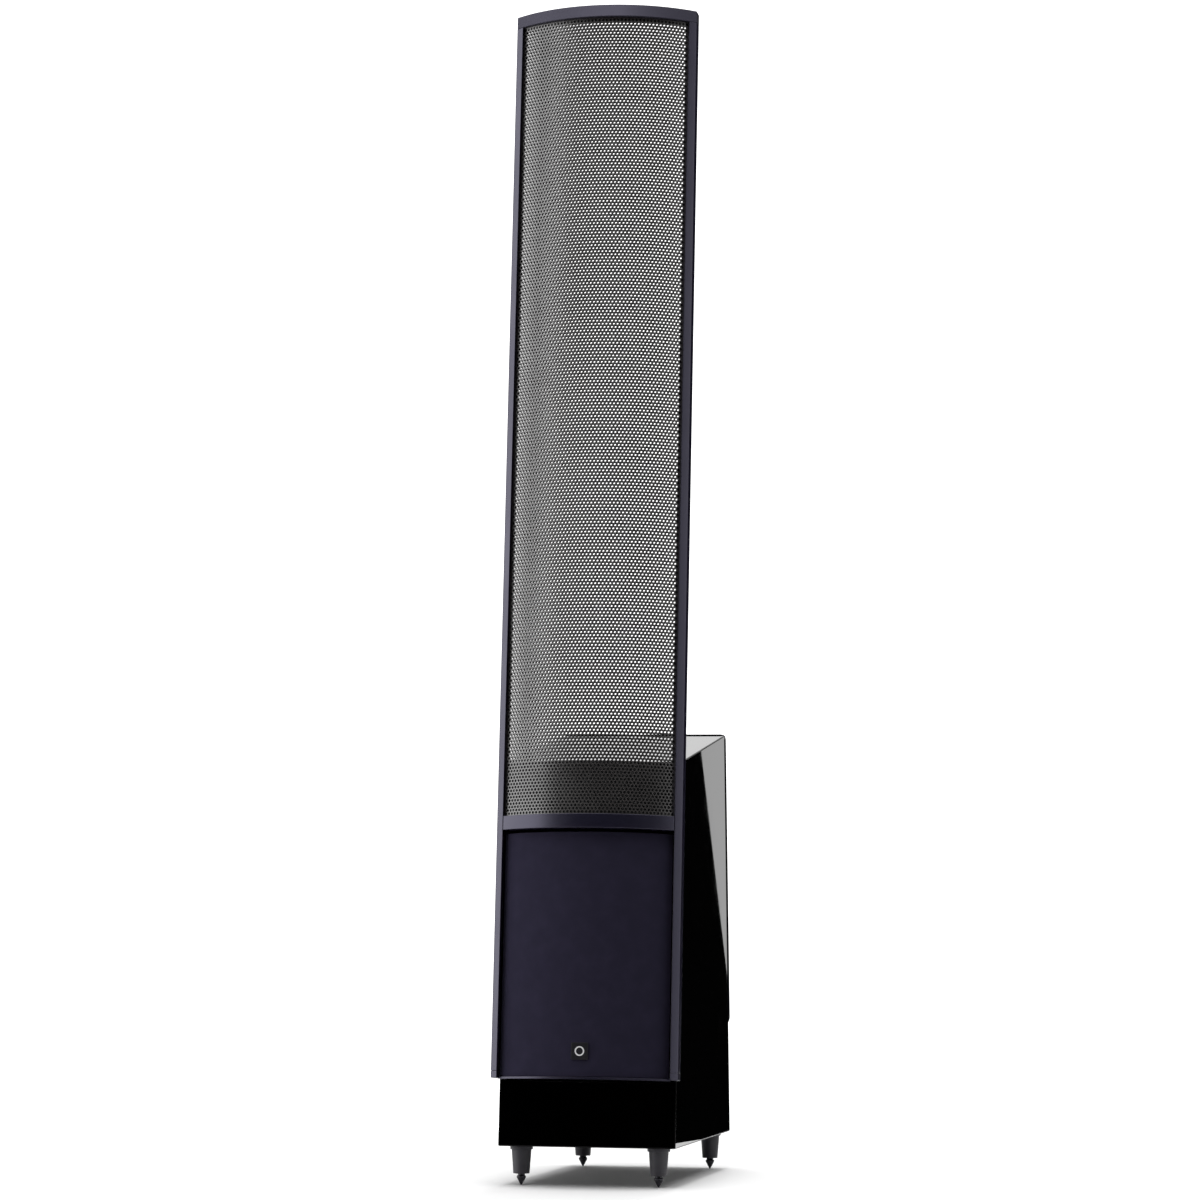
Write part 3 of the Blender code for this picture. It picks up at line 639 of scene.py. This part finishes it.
def sheet_pattern(line, cells, begin, end, first, row_height, radius, sides, below, above):
    """Points and faces of one side of a band, flat, as (across, up)."""
    width = len(line)
    heights = [first + row_height * row for row in range(begin, end + 1)]
    grid = [np.stack([line, np.full(width, height)], 1) for height in heights]
    faces = []
    turn = 2 * pi * np.arange(sides) / sides
    circle = radius * np.stack([np.cos(turn), np.sin(turn)], 1)
    holes = []
    offset = width * len(heights)
    part = sides // 6
    for index, row in enumerate(range(begin, end)):
        odd = row % 2
        base, top = index * width, (index + 1) * width
        left, right = 1 + odd, 2 * cells + 1 - odd
        faces.append((base, *range(base + 1, base + left + 1), *range(top + left, top - 1, -1)))
        faces.append((*range(base + right, base + width), *range(top + width - 1, top + right - 1, -1)))
        middle = heights[index] + row_height / 2
        for k in range(left, right, 2):
            holes.append(circle + (line[k + 1], middle))
            hole = [offset + n for n in range(sides)]
            offset += sides
            rim = [base + k + 2, top + k + 2, top + k + 1, top + k, base + k, base + k + 1]
            starts = [(n * part - part // 2) % sides for n in range(6)]
            for n in range(6):
                inner = [hole[(starts[n] + step) % sides] for step in range(part + 1)]
                faces.append((rim[n], rim[(n + 1) % 6], *inner[::-1]))
    for height, at in ((below, 0), (above, len(heights) - 1)):
        if height is None:
            continue
        holes.append(np.stack([line, np.full(width, height)], 1))
        for k in range(width - 1):
            a, b, c, d = at * width + k, at * width + k + 1, offset + k + 1, offset + k
            faces.append((d, c, b, a) if height < first else (a, b, c, d))
        offset += width
    return np.concatenate(grid + holes), faces


def open_edges(faces):
    """The edges that only one face uses, in that face's direction."""
    used = {edge for face in faces for edge in zip(face, face[1:] + face[:1])}
    return [(a, b) for a, b in used if (b, a) not in used]


def build_stators():
    kinds = (
        ("front_stator", HOLE_RADIUS, HOLE_SIDES, "stator", (0.0, 0.0), 0.0, 1.0),
        # the rear sheet wears the darker copy of the coating: painted shade
        ("rear_stator", REAR_HOLE_RADIUS, 6, "rear_stator", REAR_SHIFT, REAR_STRETCH, REAR_RISE),
    )
    for node, radius, sides, look, shift, stretch, rise in kinds:
        low, high = span(node, FRAME_FACE)
        margins = (ROW_MARGIN + shift[1], ROW_MARGIN)
        items = perforated(
            node + "_mesh", high.x, low.y, high.y, BULGE - high.z, 0.001, HOLE_PITCH, radius, sides,
            look, STATOR_BANDS, margins, shift[0], stretch, rise,
        )
        for item in items:
            piece(item, "root", "stator_coating")
        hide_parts(node)


# ---- the cabinet


def side_view():
    """The cabinet's corners in its side view, anticlockwise from its lower front, as (y, z)."""
    picks = (
        ("front_baffle", (0, -1, -0.1)), ("rear_baffle", (0, 1, -0.1)),
        ("rear_baffle", (0, 0.5, 1)), ("front_baffle", (0, -1, 1)),
    )
    return [furthest(node, direction).yz for node, direction in picks]


def inset_outline(points, distances):
    """An anticlockwise outline with each edge moved inwards by its own distance."""
    lines = []
    for start, end, distance in zip(points, points[1:] + points[:1], distances):
        along = (end - start).normalized()
        shift = Vector((-along.y, along.x)) * distance
        lines.append((start + shift - along, end + shift + along))
    return [Vector(intersect_line_line_2d(*lines[k - 1], *lines[k])) for k in range(len(points))]


def wedge(name, outline, depth):
    """A block with the cabinet's plan, which narrows towards the back, and this side view."""
    front_corner = furthest("front_baffle", (1, -0.1, 0))
    rear_corner = furthest("rear_baffle", (0.1, 1, -0.1))
    slope = (rear_corner.x - front_corner.x) / (rear_corner.y - front_corner.y)
    points = []
    for side in (-1, 1):
        points += [(side * (front_corner.x + slope * (y - front_corner.y) - depth), y, z) for y, z in outline]
    faces = [(0, 1, 2, 3), (7, 6, 5, 4), (0, 4, 5, 1), (1, 5, 6, 2), (2, 6, 7, 3), (3, 7, 4, 0)]
    return outward(add_mesh(name, mesh_of(name, points, faces), "gloss"))


def build_cabinet():
    outline = side_view()
    case = wedge("cabinet_case", outline, 0)
    case.data.materials.append(LOOKS["gloss_edge"])
    edges = case.modifiers.new("rounded", "BEVEL")
    edges.width, edges.segments, edges.material = CABINET_FILLET, 5, 1
    settle(case)
    # painted light: faces that look up take the lighter copy of the lacquer
    case.data.materials.append(LOOKS["gloss_top_painted_light"])
    for face in case.data.polygons:
        if face.normal.z > 0.9 and face.material_index == 0:
            face.material_index = 2
    walls = (PANEL_THICKNESS, REAR_BAFFLE_THICKNESS, PANEL_THICKNESS, FRONT_BAFFLE_THICKNESS)
    cut(case, wedge("hollow", inset_outline(outline, walls), PANEL_THICKNESS))
    front, rear = woofer_place("front"), woofer_place("rear")
    drill(case, front, WOOFER_OPENING, 4 * FRONT_BAFFLE_THICKNESS)
    drill(case, rear, WOOFER_OPENING, 4 * REAR_BAFFLE_THICKNESS)
    drill(case, rear @ moved((0, 0, RECESS_DEPTH / 2)), RECESS_RADIUS, RECESS_DEPTH)
    for word in ("front", "rear"):
        low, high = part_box(f"port_tube_{word}")
        drill(case, upright(f"port_tube_{word}", low.z), (high.x - low.x) / 2 + 0.0004, 0.08)
    for word in FOOT_WORDS:
        drill(case, upright(f"foot_{word}", outline[0].y), FOOT_BORE, 0.0246)
    low, high = span("terminal_plate", REAR_FACE)
    hatch = rounded_rectangle(high.x - low.x - 0.03, high.y - low.y - 0.03, 0.006)
    cut(case, prism("hatch", hatch, -0.05, 0.05, "gloss", middle_of("terminal_plate", REAR_FACE, 0)))
    sides = ("front_baffle", "rear_baffle", "side_panel_left", "side_panel_right", "bottom_panel", "top_panel")
    return piece(case, "root", "gloss_lacquer", *sides)


def build_ports():
    for word in ("front", "rear"):
        low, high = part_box(f"port_tube_{word}")
        outer, length = (high.x - low.x) / 2, high.z - low.z
        inner = outer - PORT_WALL
        lip = [(inner + 0.0024 * (1 - sin(k * pi / 16)), 0.012 * (1 - cos(k * pi / 16))) for k in range(9)]
        top = [(inner, length - 0.001), (inner + 0.001, length), (outer - 0.001, length), (outer, length - 0.001)]
        place = upright(f"port_tube_{word}", low.z)
        item = turned(f"port_{word}", lip + top + [(outer, 0.006), (outer, 0)], "port", place)
        piece(item, "root", "port_plastic", f"port_tube_{word}")


# ---- grilles and badge


def cloth_sheet(name, columns_at, rows_at, shape, look):
    """One sheet of cloth from a grid of (along, up) distances, thickened a little inwards."""
    points = [shape(s, t) for t in rows_at for s in columns_at]
    width = len(columns_at)
    starts = [row * width + k for row in range(len(rows_at) - 1) for k in range(width - 1)]
    faces = [(a, a + 1, a + 1 + width, a + width) for a in starts]
    mesh = mesh_of(name, points, faces)
    along = mesh.attributes.new(CLOTH_MAP, "FLOAT_VECTOR", "POINT")
    along.data.foreach_set("vector", [value for t in rows_at for s in columns_at for value in (s, t, 0.0)])
    item = add_mesh(name, mesh, look)
    thicken = item.modifiers.new("thickness", "SOLIDIFY")
    thicken.thickness, thicken.offset = CLOTH_THICKNESS, -1
    settle(item)
    item.data.shade_smooth()
    return item


def wrapped(distance, half, radius, wrap):
    """How far across and how far down a cloth is that runs flat to an edge, then round and down it."""
    past = abs(distance) - (half - radius)
    if past <= 0:
        return distance, 0.0
    quarter = radius * pi / 2
    if past < quarter:
        angle = past / radius
        return copysign(half - radius + radius * sin(angle), distance), radius * (1 - cos(angle))
    return copysign(half, distance), radius + min(past - quarter, wrap)


def cloth_steps(half, radius, wrap, coarse):
    """Distances across a wrapped cloth, close together round its edges."""
    flat = half - radius
    middle = [flat * (2 * k / coarse - 1) for k in range(coarse + 1)]
    edge = [flat + radius * pi / 2 * k / 6 for k in range(1, 7)] + [flat + radius * pi / 2 + wrap]
    return [-s for s in edge[::-1]] + middle + edge


def build_front_grille():
    low, high = span("front_grille_cloth", FRAME_FACE)
    half, height, middle_v = high.x, high.y - low.y, (high.y + low.y) / 2
    setback = BULGE - high.z
    half_arc = BOW_RADIUS * asin(half / BOW_RADIUS) + CLOTH_OVERHANG
    radius, wrap = 0.0009, CLOTH_WRAP
    across = cloth_steps(half_arc, radius, wrap, 72)
    up = cloth_steps(height / 2, radius, wrap, 40)

    def shape(s, t):
        x, side_drop = wrapped(s, half_arc, radius, wrap)
        y, end_drop = wrapped(t, height / 2, radius, wrap)
        angle, drop = x / BOW_RADIUS, max(side_drop, end_drop)
        reach = BOW_RADIUS - drop
        w = reach * cos(angle) - (BOW_RADIUS - BULGE) - setback
        return FRAME_FACE @ Vector((reach * sin(angle), middle_v + y, w))

    cloth = cloth_sheet("front_grille_fabric", across, up, shape, "cloth")
    piece(cloth, "front_grille", "grille_cloth", "front_grille_cloth")

    low, high = span("front_grille_plate", FRAME_FACE)
    panels = perforated(
        "front_grille_panel", high.x - 0.0012, low.y + 0.0012, high.y - 0.0012, BULGE - high.z, 0.0014, 0.008,
        0.0029, 12, "plate", 1, (0.008, 0.008),
    )
    piece(panels[0], "front_grille", "grille_plate", "front_grille_plate")
    build_badge()


def build_badge():
    low, high = span("badge", FRAME_FACE)
    size, middle = high - low, (low + high) / 2
    place = FRAME_FACE @ moved((0, middle.y, low.z))
    outline = rounded_rectangle(size.x, size.y, 0.0012, 5)
    tile = round_edges(prism("badge_tile", outline, 0, size.z * 0.85, "badge", place), 0.0002)
    piece(tile, "front_grille", "badge_metal", "badge")
    top = size.z
    profile = [(0.0043, top), (0.006, top), (0.006, top * 0.6), (0.0043, top * 0.6)]
    mark = turned("badge_ring", profile, "badge_mark", place, 64)
    piece(mark, "front_grille", "badge_metal")


def build_rear_grille():
    low, high = span("rear_grille_plate", REAR_FACE)
    cloth_top = span("rear_grille_cloth", REAR_FACE)[1].z
    half, height = high.x + REAR_CLOTH_OVERHANG, high.y - low.y + 2 * REAR_CLOTH_OVERHANG
    middle = REAR_FACE @ moved((0, (low.y + high.y) / 2, 0))
    corner, radius = 0.006, 0.0025
    wrap = cloth_top - radius - low.z - 0.0002
    across = cloth_steps(half, radius, wrap, 48)
    up = cloth_steps(height / 2, radius, wrap, 80)

    def shape(s, t):
        x, side_drop = wrapped(s, half, radius, wrap)
        y, end_drop = wrapped(t, height / 2, radius, wrap)
        over_x, over_y = abs(x) - (half - corner), abs(y) - (height / 2 - corner)
        if over_x > 0 and over_y > 0:
            reach = max(over_x, over_y) / hypot(over_x, over_y)
            x = copysign(half - corner + over_x * reach, x)
            y = copysign(height / 2 - corner + over_y * reach, y)
        return middle @ Vector((x, y, cloth_top - max(side_drop, end_drop)))

    cloth = cloth_sheet("rear_grille_fabric", across, up, shape, "rear_cloth")
    piece(cloth, "rear_grille", "grille_cloth", "rear_grille_cloth")
    rim = 0.016
    outline = rounded_rectangle(2 * half - 0.004, height - 0.004, corner)
    panel = prism("rear_grille_frame", outline, low.z, high.z - 0.0006, "plate", middle)
    window = rounded_rectangle(2 * (half - rim), height / 2 - 1.5 * rim, 0.01)
    for side in (-1, 1):
        place = middle @ moved((0, side * (height / 4 - rim / 4), 0))
        cut(panel, prism("window", window, -0.01, 0.02, "plate", place))
    piece(round_edges(panel, 0.0006), "rear_grille", "grille_plate", "rear_grille_plate")


# ---- woofers


def woofer_place(word):
    """The woofer's own frame: its front towards +z, and its mounting face at z 0."""
    face = FRAME_FACE if word == "front" else REAR_FACE
    low, high = span(f"{word}_basket", face)
    return face @ moved((0, (low.y + high.y) / 2, high.z - 0.004))


def roll_profile(inner, outer, base, height, thickness, steps=14):
    """A round roll between two flat lips, as a closed loop."""
    middle, radius = (inner + outer) / 2, (outer - inner) / 2
    angles = [pi - pi * step / steps for step in range(steps + 1)]
    top = [(middle + radius * cos(a), base + thickness + height * sin(a)) for a in angles]
    under = [(middle + (radius - thickness) * cos(a), base + height * sin(a)) for a in angles]
    lips = 0.003
    return (
        [(inner - lips, base + thickness)] + top + [(outer + lips, base + thickness), (outer + lips, base)]
        + under[::-1] + [(inner - lips, base)]
    )


def corrugated(inner, outer, base, thickness, waves=5):
    steps = waves * 8
    radii = [inner + (outer - inner) * step / steps for step in range(steps + 1)]
    wave = [base + 0.0012 * sin(2 * pi * waves * step / steps) for step in range(steps + 1)]
    return [(r, z + thickness) for r, z in zip(radii, wave)] + list(zip(radii, wave))[::-1]


def flexing(name, profile, look, place, word, inner, outer, sectors):
    """A ring between the basket outside and the cone inside, made as sectors about the woofer's axis, each baked
    into world coordinates."""
    for sector in range(sectors):
        angle = 2 * pi * (sector + 0.5) / sectors
        half = pi / sectors
        item = turned(f"{name}_{sector + 1}", profile, look, place, 6, arc=(angle - half, angle + half))
        item.modifiers.clear()
        outwards = Vector((cos(angle), sin(angle), 0))
        start, end = place @ (outwards * outer), place @ (outwards * inner)
        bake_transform(item)
        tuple(start)
        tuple(end)
        yield item


def build_woofer(word):
    place = woofer_place(word)
    basket = (
        (0.0875, 0.003), (0.088, 0.004), (0.101, 0.004), (0.1022, 0.0032), (0.1022, 0.0003),
        (0.0903, 0.0003), (0.088, -0.012), (0.056, -0.052), (0.052, -0.059), (0.03, -0.059),
        (0.03, -0.0565), (0.0505, -0.0565), (0.086, -0.012), (0.0875, -0.002),
    )
    item = turned(f"{word}_basket_casting", filleted(basket, 0.0008), "basket", place)
    piece(item, "root", "basket_metal", f"{word}_basket")
    head = ((0, 0.0007), (0.0013, 0.0007), (0.0015, 0.0016), (0.0026, 0.0016), (0.0032, 0.0009), (0.0033, 0), (0, 0))
    turns = [2 * pi * (k + 0.5) / 8 for k in range(8)]
    spots = [place @ moved((0.096 * cos(a), 0.096 * sin(a), 0.004)) for a in turns]
    screws(f"{word}_woofer_screws", head, spots)
    motor = (
        (0, -0.058), (0.024, -0.058), (0.024, -0.085), (0.028, -0.085), (0.028, -0.0593),
        (0.05, -0.0593), (0.05, -0.066), (0.06, -0.066), (0.06, -0.087), (0.05, -0.087),
        (0.05, -0.094), (0, -0.094),
    )
    body = f"{word}_woofer_cone"
    slope = [k / 12 for k in range(13)]
    upper = [(0.0275 + 0.046 * s, -0.03 + 0.0338 * s - 0.0022 * sin(pi * s)) for s in slope]
    lower = [(r + 0.0002, z - 0.0011) for r, z in upper[::-1]]
    cone = [(0.0268, -0.03)] + upper + [(0.075, 0.0038), (0.075, 0.0028)] + lower + [(0.0268, -0.0312)]
    arcs = [radians(77 * k / 16) for k in range(17)]
    dome = [(0.031 * sin(a), -0.0324 + 0.0225 * cos(a)) for a in arcs]
    shell = [(r * 0.975, z - 0.0008) for r, z in dome[::-1]]
    coil = [(0.0252, -0.0308), (0.0264, -0.0308), (0.0264, -0.078), (0.0252, -0.078)]
    parts = (
        ("magnet", filleted(motor, 0.0008, closed=False), "ferrite", "root", "motor_steel", "motor"),
        ("diaphragm_cone", cone, "cone", body, "cone_metal", "cone"),
        ("dome", dome + shell, "cone", body, "cone_metal", "dust_cap"),
        ("coil", coil, "copper", body, "copper_wire", "voice_coil"),
    )
    for name, profile, look, rider, slot, node in parts:
        steps = 64 if name == "coil" else ROUND_STEPS
        piece(turned(f"{word}_{name}", profile, look, place, steps), rider, slot, f"{word}_{node}")
    roll = roll_profile(*SURROUND, 0.0043, 0.005, 0.0008)
    sectors = list(flexing(f"{word}_surround_part", roll, "rubber", place, word, *SURROUND, SURROUND_SECTORS))
    spring = corrugated(*SPIDER, -0.04, 0.0006)
    springs = list(flexing(f"{word}_spider_part", spring, "spider", place, word, *SPIDER, SPIDER_SECTORS))
    for items, slot, node in ((sectors, "surround_rubber", "surround"), (springs, "spider_cloth", "spider")):
        for item in items:
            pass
        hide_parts(f"{word}_{node}")


# ---- feet, terminals and the inside


def build_feet():
    """Each foot's body and spike, the front feet first."""
    body = [
        (0, 0.012), (0.004, 0.012), (0.004, -0.0003), (0.01425, -0.0003), (0.01425, -0.0045),
        (0.01235, -0.0045), (0.0119, -0.012), (0.01015, -0.0345), (0.0046, -0.0345), (0.0046, -0.006), (0, -0.006),
    ]
    neck = -0.0348
    spike = [
        (0, -0.0085), (0.0038, -0.0085), (0.0038, neck), (0.0044, neck), (0.0044, neck - 0.0018),
        (0.0058, neck - 0.003), (0.0058, neck - 0.0046), (0.0006, -0.0489), (0, -0.0489),
    ]
    items = []
    for word in FOOT_WORDS:
        place = upright(f"foot_{word}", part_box(f"foot_{word}")[1].z - 0.012)
        item = turned(f"foot_body_{word}", filleted(body, 0.0006, closed=False), "foot", place)
        items.append(piece(item, "root", "foot_plastic", f"foot_{word}"))
        item = turned(f"spike_pin_{word}", filleted(spike, 0.0002, closed=False), "spike", place)
        items.append(piece(item, f"{word}_spike", "spike_steel", f"spike_{word}"))
    return items


def build_terminals():
    low = span("terminal_plate", REAR_FACE)[0]
    base = low.z if low.z > 0 else 0.0003
    thickness = 0.003
    half = Vector((0.055, 0.048))
    place = middle_of("terminal_plate", REAR_FACE, base)
    outline = rounded_rectangle(2 * half.x, 2 * half.y, 0.006)
    plate = prism("terminal_panel", outline, 0, thickness, "black", place)
    recess = rounded_rectangle(2 * half.x - 0.026, 2 * half.y - 0.02, 0.004)
    cut(plate, prism("recess", recess, thickness - 0.0008, thickness + 0.01, "black", place))
    piece(round_edges(plate, 0.0005), "root", "terminal_plastic", "terminal_plate")
    head = ((0, 0.0006), (0.0012, 0.0006), (0.0014, 0.0014), (0.0024, 0.0014), (0.003, 0.0008), (0.0031, 0), (0, 0))
    corners = [(x * (half.x - 0.007), y * (half.y - 0.006), thickness) for x in (-1, 1) for y in (-1, 1)]
    screws("terminal_screws", head, [place @ moved(corner) for corner in corners])
    posts = []
    kinds = {"negative": ("black", "terminal_plastic"), "positive": ("red", "terminal_red")}
    for row, word in (("lower", "negative"), ("lower", "positive"), ("upper", "negative"), ("upper", "positive")):
        node = f"post_knob_{row}_{word}"
        low, high = span(node, REAR_FACE)
        spot = middle_of(node, REAR_FACE, 0)
        start, tip, collar = low.z, high.z, base + thickness - 0.001
        stud = [
            (0, tip - 0.002), (0.0027, tip - 0.002), (0.0027, start - 0.0003), (0.0072, start - 0.0003),
            (0.0072, collar), (0.0027, collar), (0.0027, -0.012), (0, -0.012),
        ]
        posts.append(turned("post", filleted(stud, 0.0004, closed=False), "gold", spot, 48))
        knob = [
            (0.003, tip - 0.0006), (0.0036, tip), (0.0062, tip), (0.0072, tip - 0.0012), (0.0072, start + 0.003),
            (0.0066, start + 0.001), (0.0064, start), (0.003, start),
        ]
        look, slot = kinds[word]
        item = turned(node + "_grip", knob, look, spot, 144, ribs=18, rib_depth=0.028)
        piece(item, f"{row}_{word}_knob", slot, node)
    piece(joined("binding_post_shafts", posts), "root", "terminal_plastic")
    low, high = span("dc_inlet", REAR_FACE)
    rise = high.z - low.z
    socket = [
        (0, rise - 0.0008), (0.001, rise - 0.0008), (0.001, 0.001), (0.0028, 0.001),
        (0.0028, rise), (0.005, rise), (0.006, rise - 0.001), (0.006, 0), (0, 0),
    ]
    spot = middle_of("dc_inlet", REAR_FACE, low.z)
    item = turned("power_socket", filleted(socket, 0.0003, closed=False), "black", spot, 48)
    piece(item, "root", "terminal_plastic", "dc_inlet")


def dress_inside():
    """Better materials for the inner CAD nodes that keep their shapes."""
    looks = {
        "panel_spacer": "spacer", "diaphragm": "film", "chamber_divider": "board", "crossover_board": "circuit",
        "bias_supply_board": "circuit", "woofer_inductor": "copper", "crossover_capacitor": "wrap",
        "step_up_transformer": "tape",
    }
    for node, look in looks.items():
        NODES[node].material_slots[0].material = LOOKS[look]


# ---- camera, lights and stage


def add_camera():
    forward = Vector((
        -sin(CAMERA_YAW) * cos(CAMERA_PITCH), cos(CAMERA_YAW) * cos(CAMERA_PITCH), sin(CAMERA_PITCH),
    ))
    level = Vector((cos(CAMERA_YAW), sin(CAMERA_YAW), 0))
    above = level.cross(forward)
    right = level * cos(CAMERA_ROLL) + above * sin(CAMERA_ROLL)
    up = above * cos(CAMERA_ROLL) - level * sin(CAMERA_ROLL)
    data = bpy.data.cameras.new("camera")
    data.sensor_width, data.lens = SENSOR_WIDTH, CAMERA_LENS
    camera = bpy.data.objects.new("camera", data)
    camera.matrix_world = columns(right, up, -forward, CAMERA_PLACE)
    SCENE.collection.objects.link(camera)
    SCENE.camera = camera


BACKLIGHTS = (
    ("backlight_low", -1.125, 0.5, 3.3, 1.4, 0.74, 7), ("backlight_high", 0.05, 2.0, 1.0, 1.9, 1.0, 0),
    ("backlight_far", -1.6, 2.0, 2.3, 1.9, 1.5, 0),
)


def soft_light(name, place, target, width, height, radiance, turn=0.0):
    """A rectangular softbox of even brightness that faces its target."""
    data = bpy.data.lights.new(name, "AREA")
    data.shape = "RECTANGLE"
    data.size, data.size_y = width, height
    data.energy = radiance * pi * width * height
    light = bpy.data.objects.new(name, data)
    aim = (Vector(target) - Vector(place)).to_track_quat("-Z", "Y").to_matrix().to_4x4()
    light.matrix_world = moved(place) @ aim @ Matrix.Rotation(turn, 4, "Z")
    light.visible_camera = False
    SCENE.collection.objects.link(light)
    return light


def spare(light, *items, state="EXCLUDE"):
    """Keeps a light off some pieces, or with the state INCLUDE on nothing but these."""
    receivers = bpy.data.collections.new(light.name + "_receivers")
    for item in items:
        receivers.objects.link(item)
    for member in receivers.collection_objects:
        member.light_linking.link_state = state
    light.light_linking.receiver_collection = receivers


def add_world():
    """White behind everything, a soft fill for diffuse light, and for reflections a dark room with a
    lighter ceiling."""
    world = bpy.data.worlds.new("studio")
    world.use_nodes = True
    SCENE.world = world
    tree = world.node_tree
    tree.nodes.clear()
    add, link = tree.nodes.new, tree.links.new
    shades = [add("ShaderNodeBackground") for _ in range(3)]
    for shade, strength in zip(shades, (ROOM_DARK, ROOM_FILL, ROOM_WHITE)):
        shade.inputs["Color"].default_value = (1, 1, 1, 1)
        shade.inputs["Strength"].default_value = strength
    where, height, rise = add("ShaderNodeTexCoord"), add("ShaderNodeSeparateXYZ"), add("ShaderNodeMapRange")
    ramp = (("From Min", CEILING_LOW), ("From Max", CEILING_HIGH), ("To Min", ROOM_DARK), ("To Max", CEILING_LIGHT))
    for key, value in ramp:
        rise.inputs[key].default_value = value
    link(where.outputs["Generated"], height.inputs[0])
    link(height.outputs["Z"], rise.inputs["Value"])
    link(rise.outputs[0], shades[0].inputs["Strength"])
    paths = add("ShaderNodeLightPath")
    shown = shades[0]
    for kind, shade in (("Is Diffuse Ray", shades[1]), ("Is Camera Ray", shades[2])):
        mix = add("ShaderNodeMixShader")
        link(paths.outputs[kind], mix.inputs[0])
        link(shown.outputs[0], mix.inputs[1])
        link(shade.outputs[0], mix.inputs[2])
        shown = mix
    link(shown.outputs[0], add("ShaderNodeOutputWorld").inputs["Surface"])


def add_floor():
    """A white floor that ends a little behind the speaker, where the white backdrop takes over."""
    points = [(-1.6, -1.7, 0), (1.6, -1.7, 0), (1.6, 0.8, 0), (0.279, 0.8, 0), (0.23, 1.13, 0), (-1.6, 1.13, 0)]
    floor = add_mesh("floor", mesh_of("floor", points, [tuple(range(6))]), "floor")
    return floor


def add_lights(floor, case, frame_items, rear_feet):
    """The side lights spare the floor, where one soft shadow lies, and the cabinet's polish."""
    key = soft_light("key_left", (-2.1, -0.85, 1.2), (0, 0, 1.2), 2.4, 3.4, 3.3)
    edge = soft_light("edge_right", (2.15, -0.45, 1.1), (0, 0, 1.1), 1.7, 2.6, 1.5)
    overhead = soft_light("overhead", (0, -0.1, 4.0), (0, -0.1, 0), 5.0, 5.0, 2.4)
    for light in (key, edge):
        spare(light, floor, case, *rear_feet)
    spare(overhead, *rear_feet)
    down = soft_light("downlight", (0, -0.5, 7.0), (0, -0.5, 0), 1.2, 20.0, 7.2)
    spare(down, floor, state="INCLUDE")
    for name, x, z, width, height, radiance, turn in BACKLIGHTS:
        back = soft_light(name, (x, 3.0, z), (x, 0, z), width, height, radiance, radians(turn))
        spare(back, *frame_items, *rear_feet)
    high = soft_light("front_high", (-0.45, -5.0, 3.5), (0, 0, 1.49), 1.0, 1.0, 96.0)
    spare(high, frame_items[-1], state="INCLUDE")


# ---- everything


def main():
    SCENE.view_settings.view_transform = "Standard"
    add_camera()
    add_world()
    frame_items = build_frame()
    build_stators()
    case = build_cabinet()
    build_ports()
    build_front_grille()
    build_rear_grille()
    build_woofer("front")
    build_woofer("rear")
    rear_feet = build_feet()[4:]
    build_terminals()
    dress_inside()
    add_lights(add_floor(), case, frame_items, rear_feet)


main()
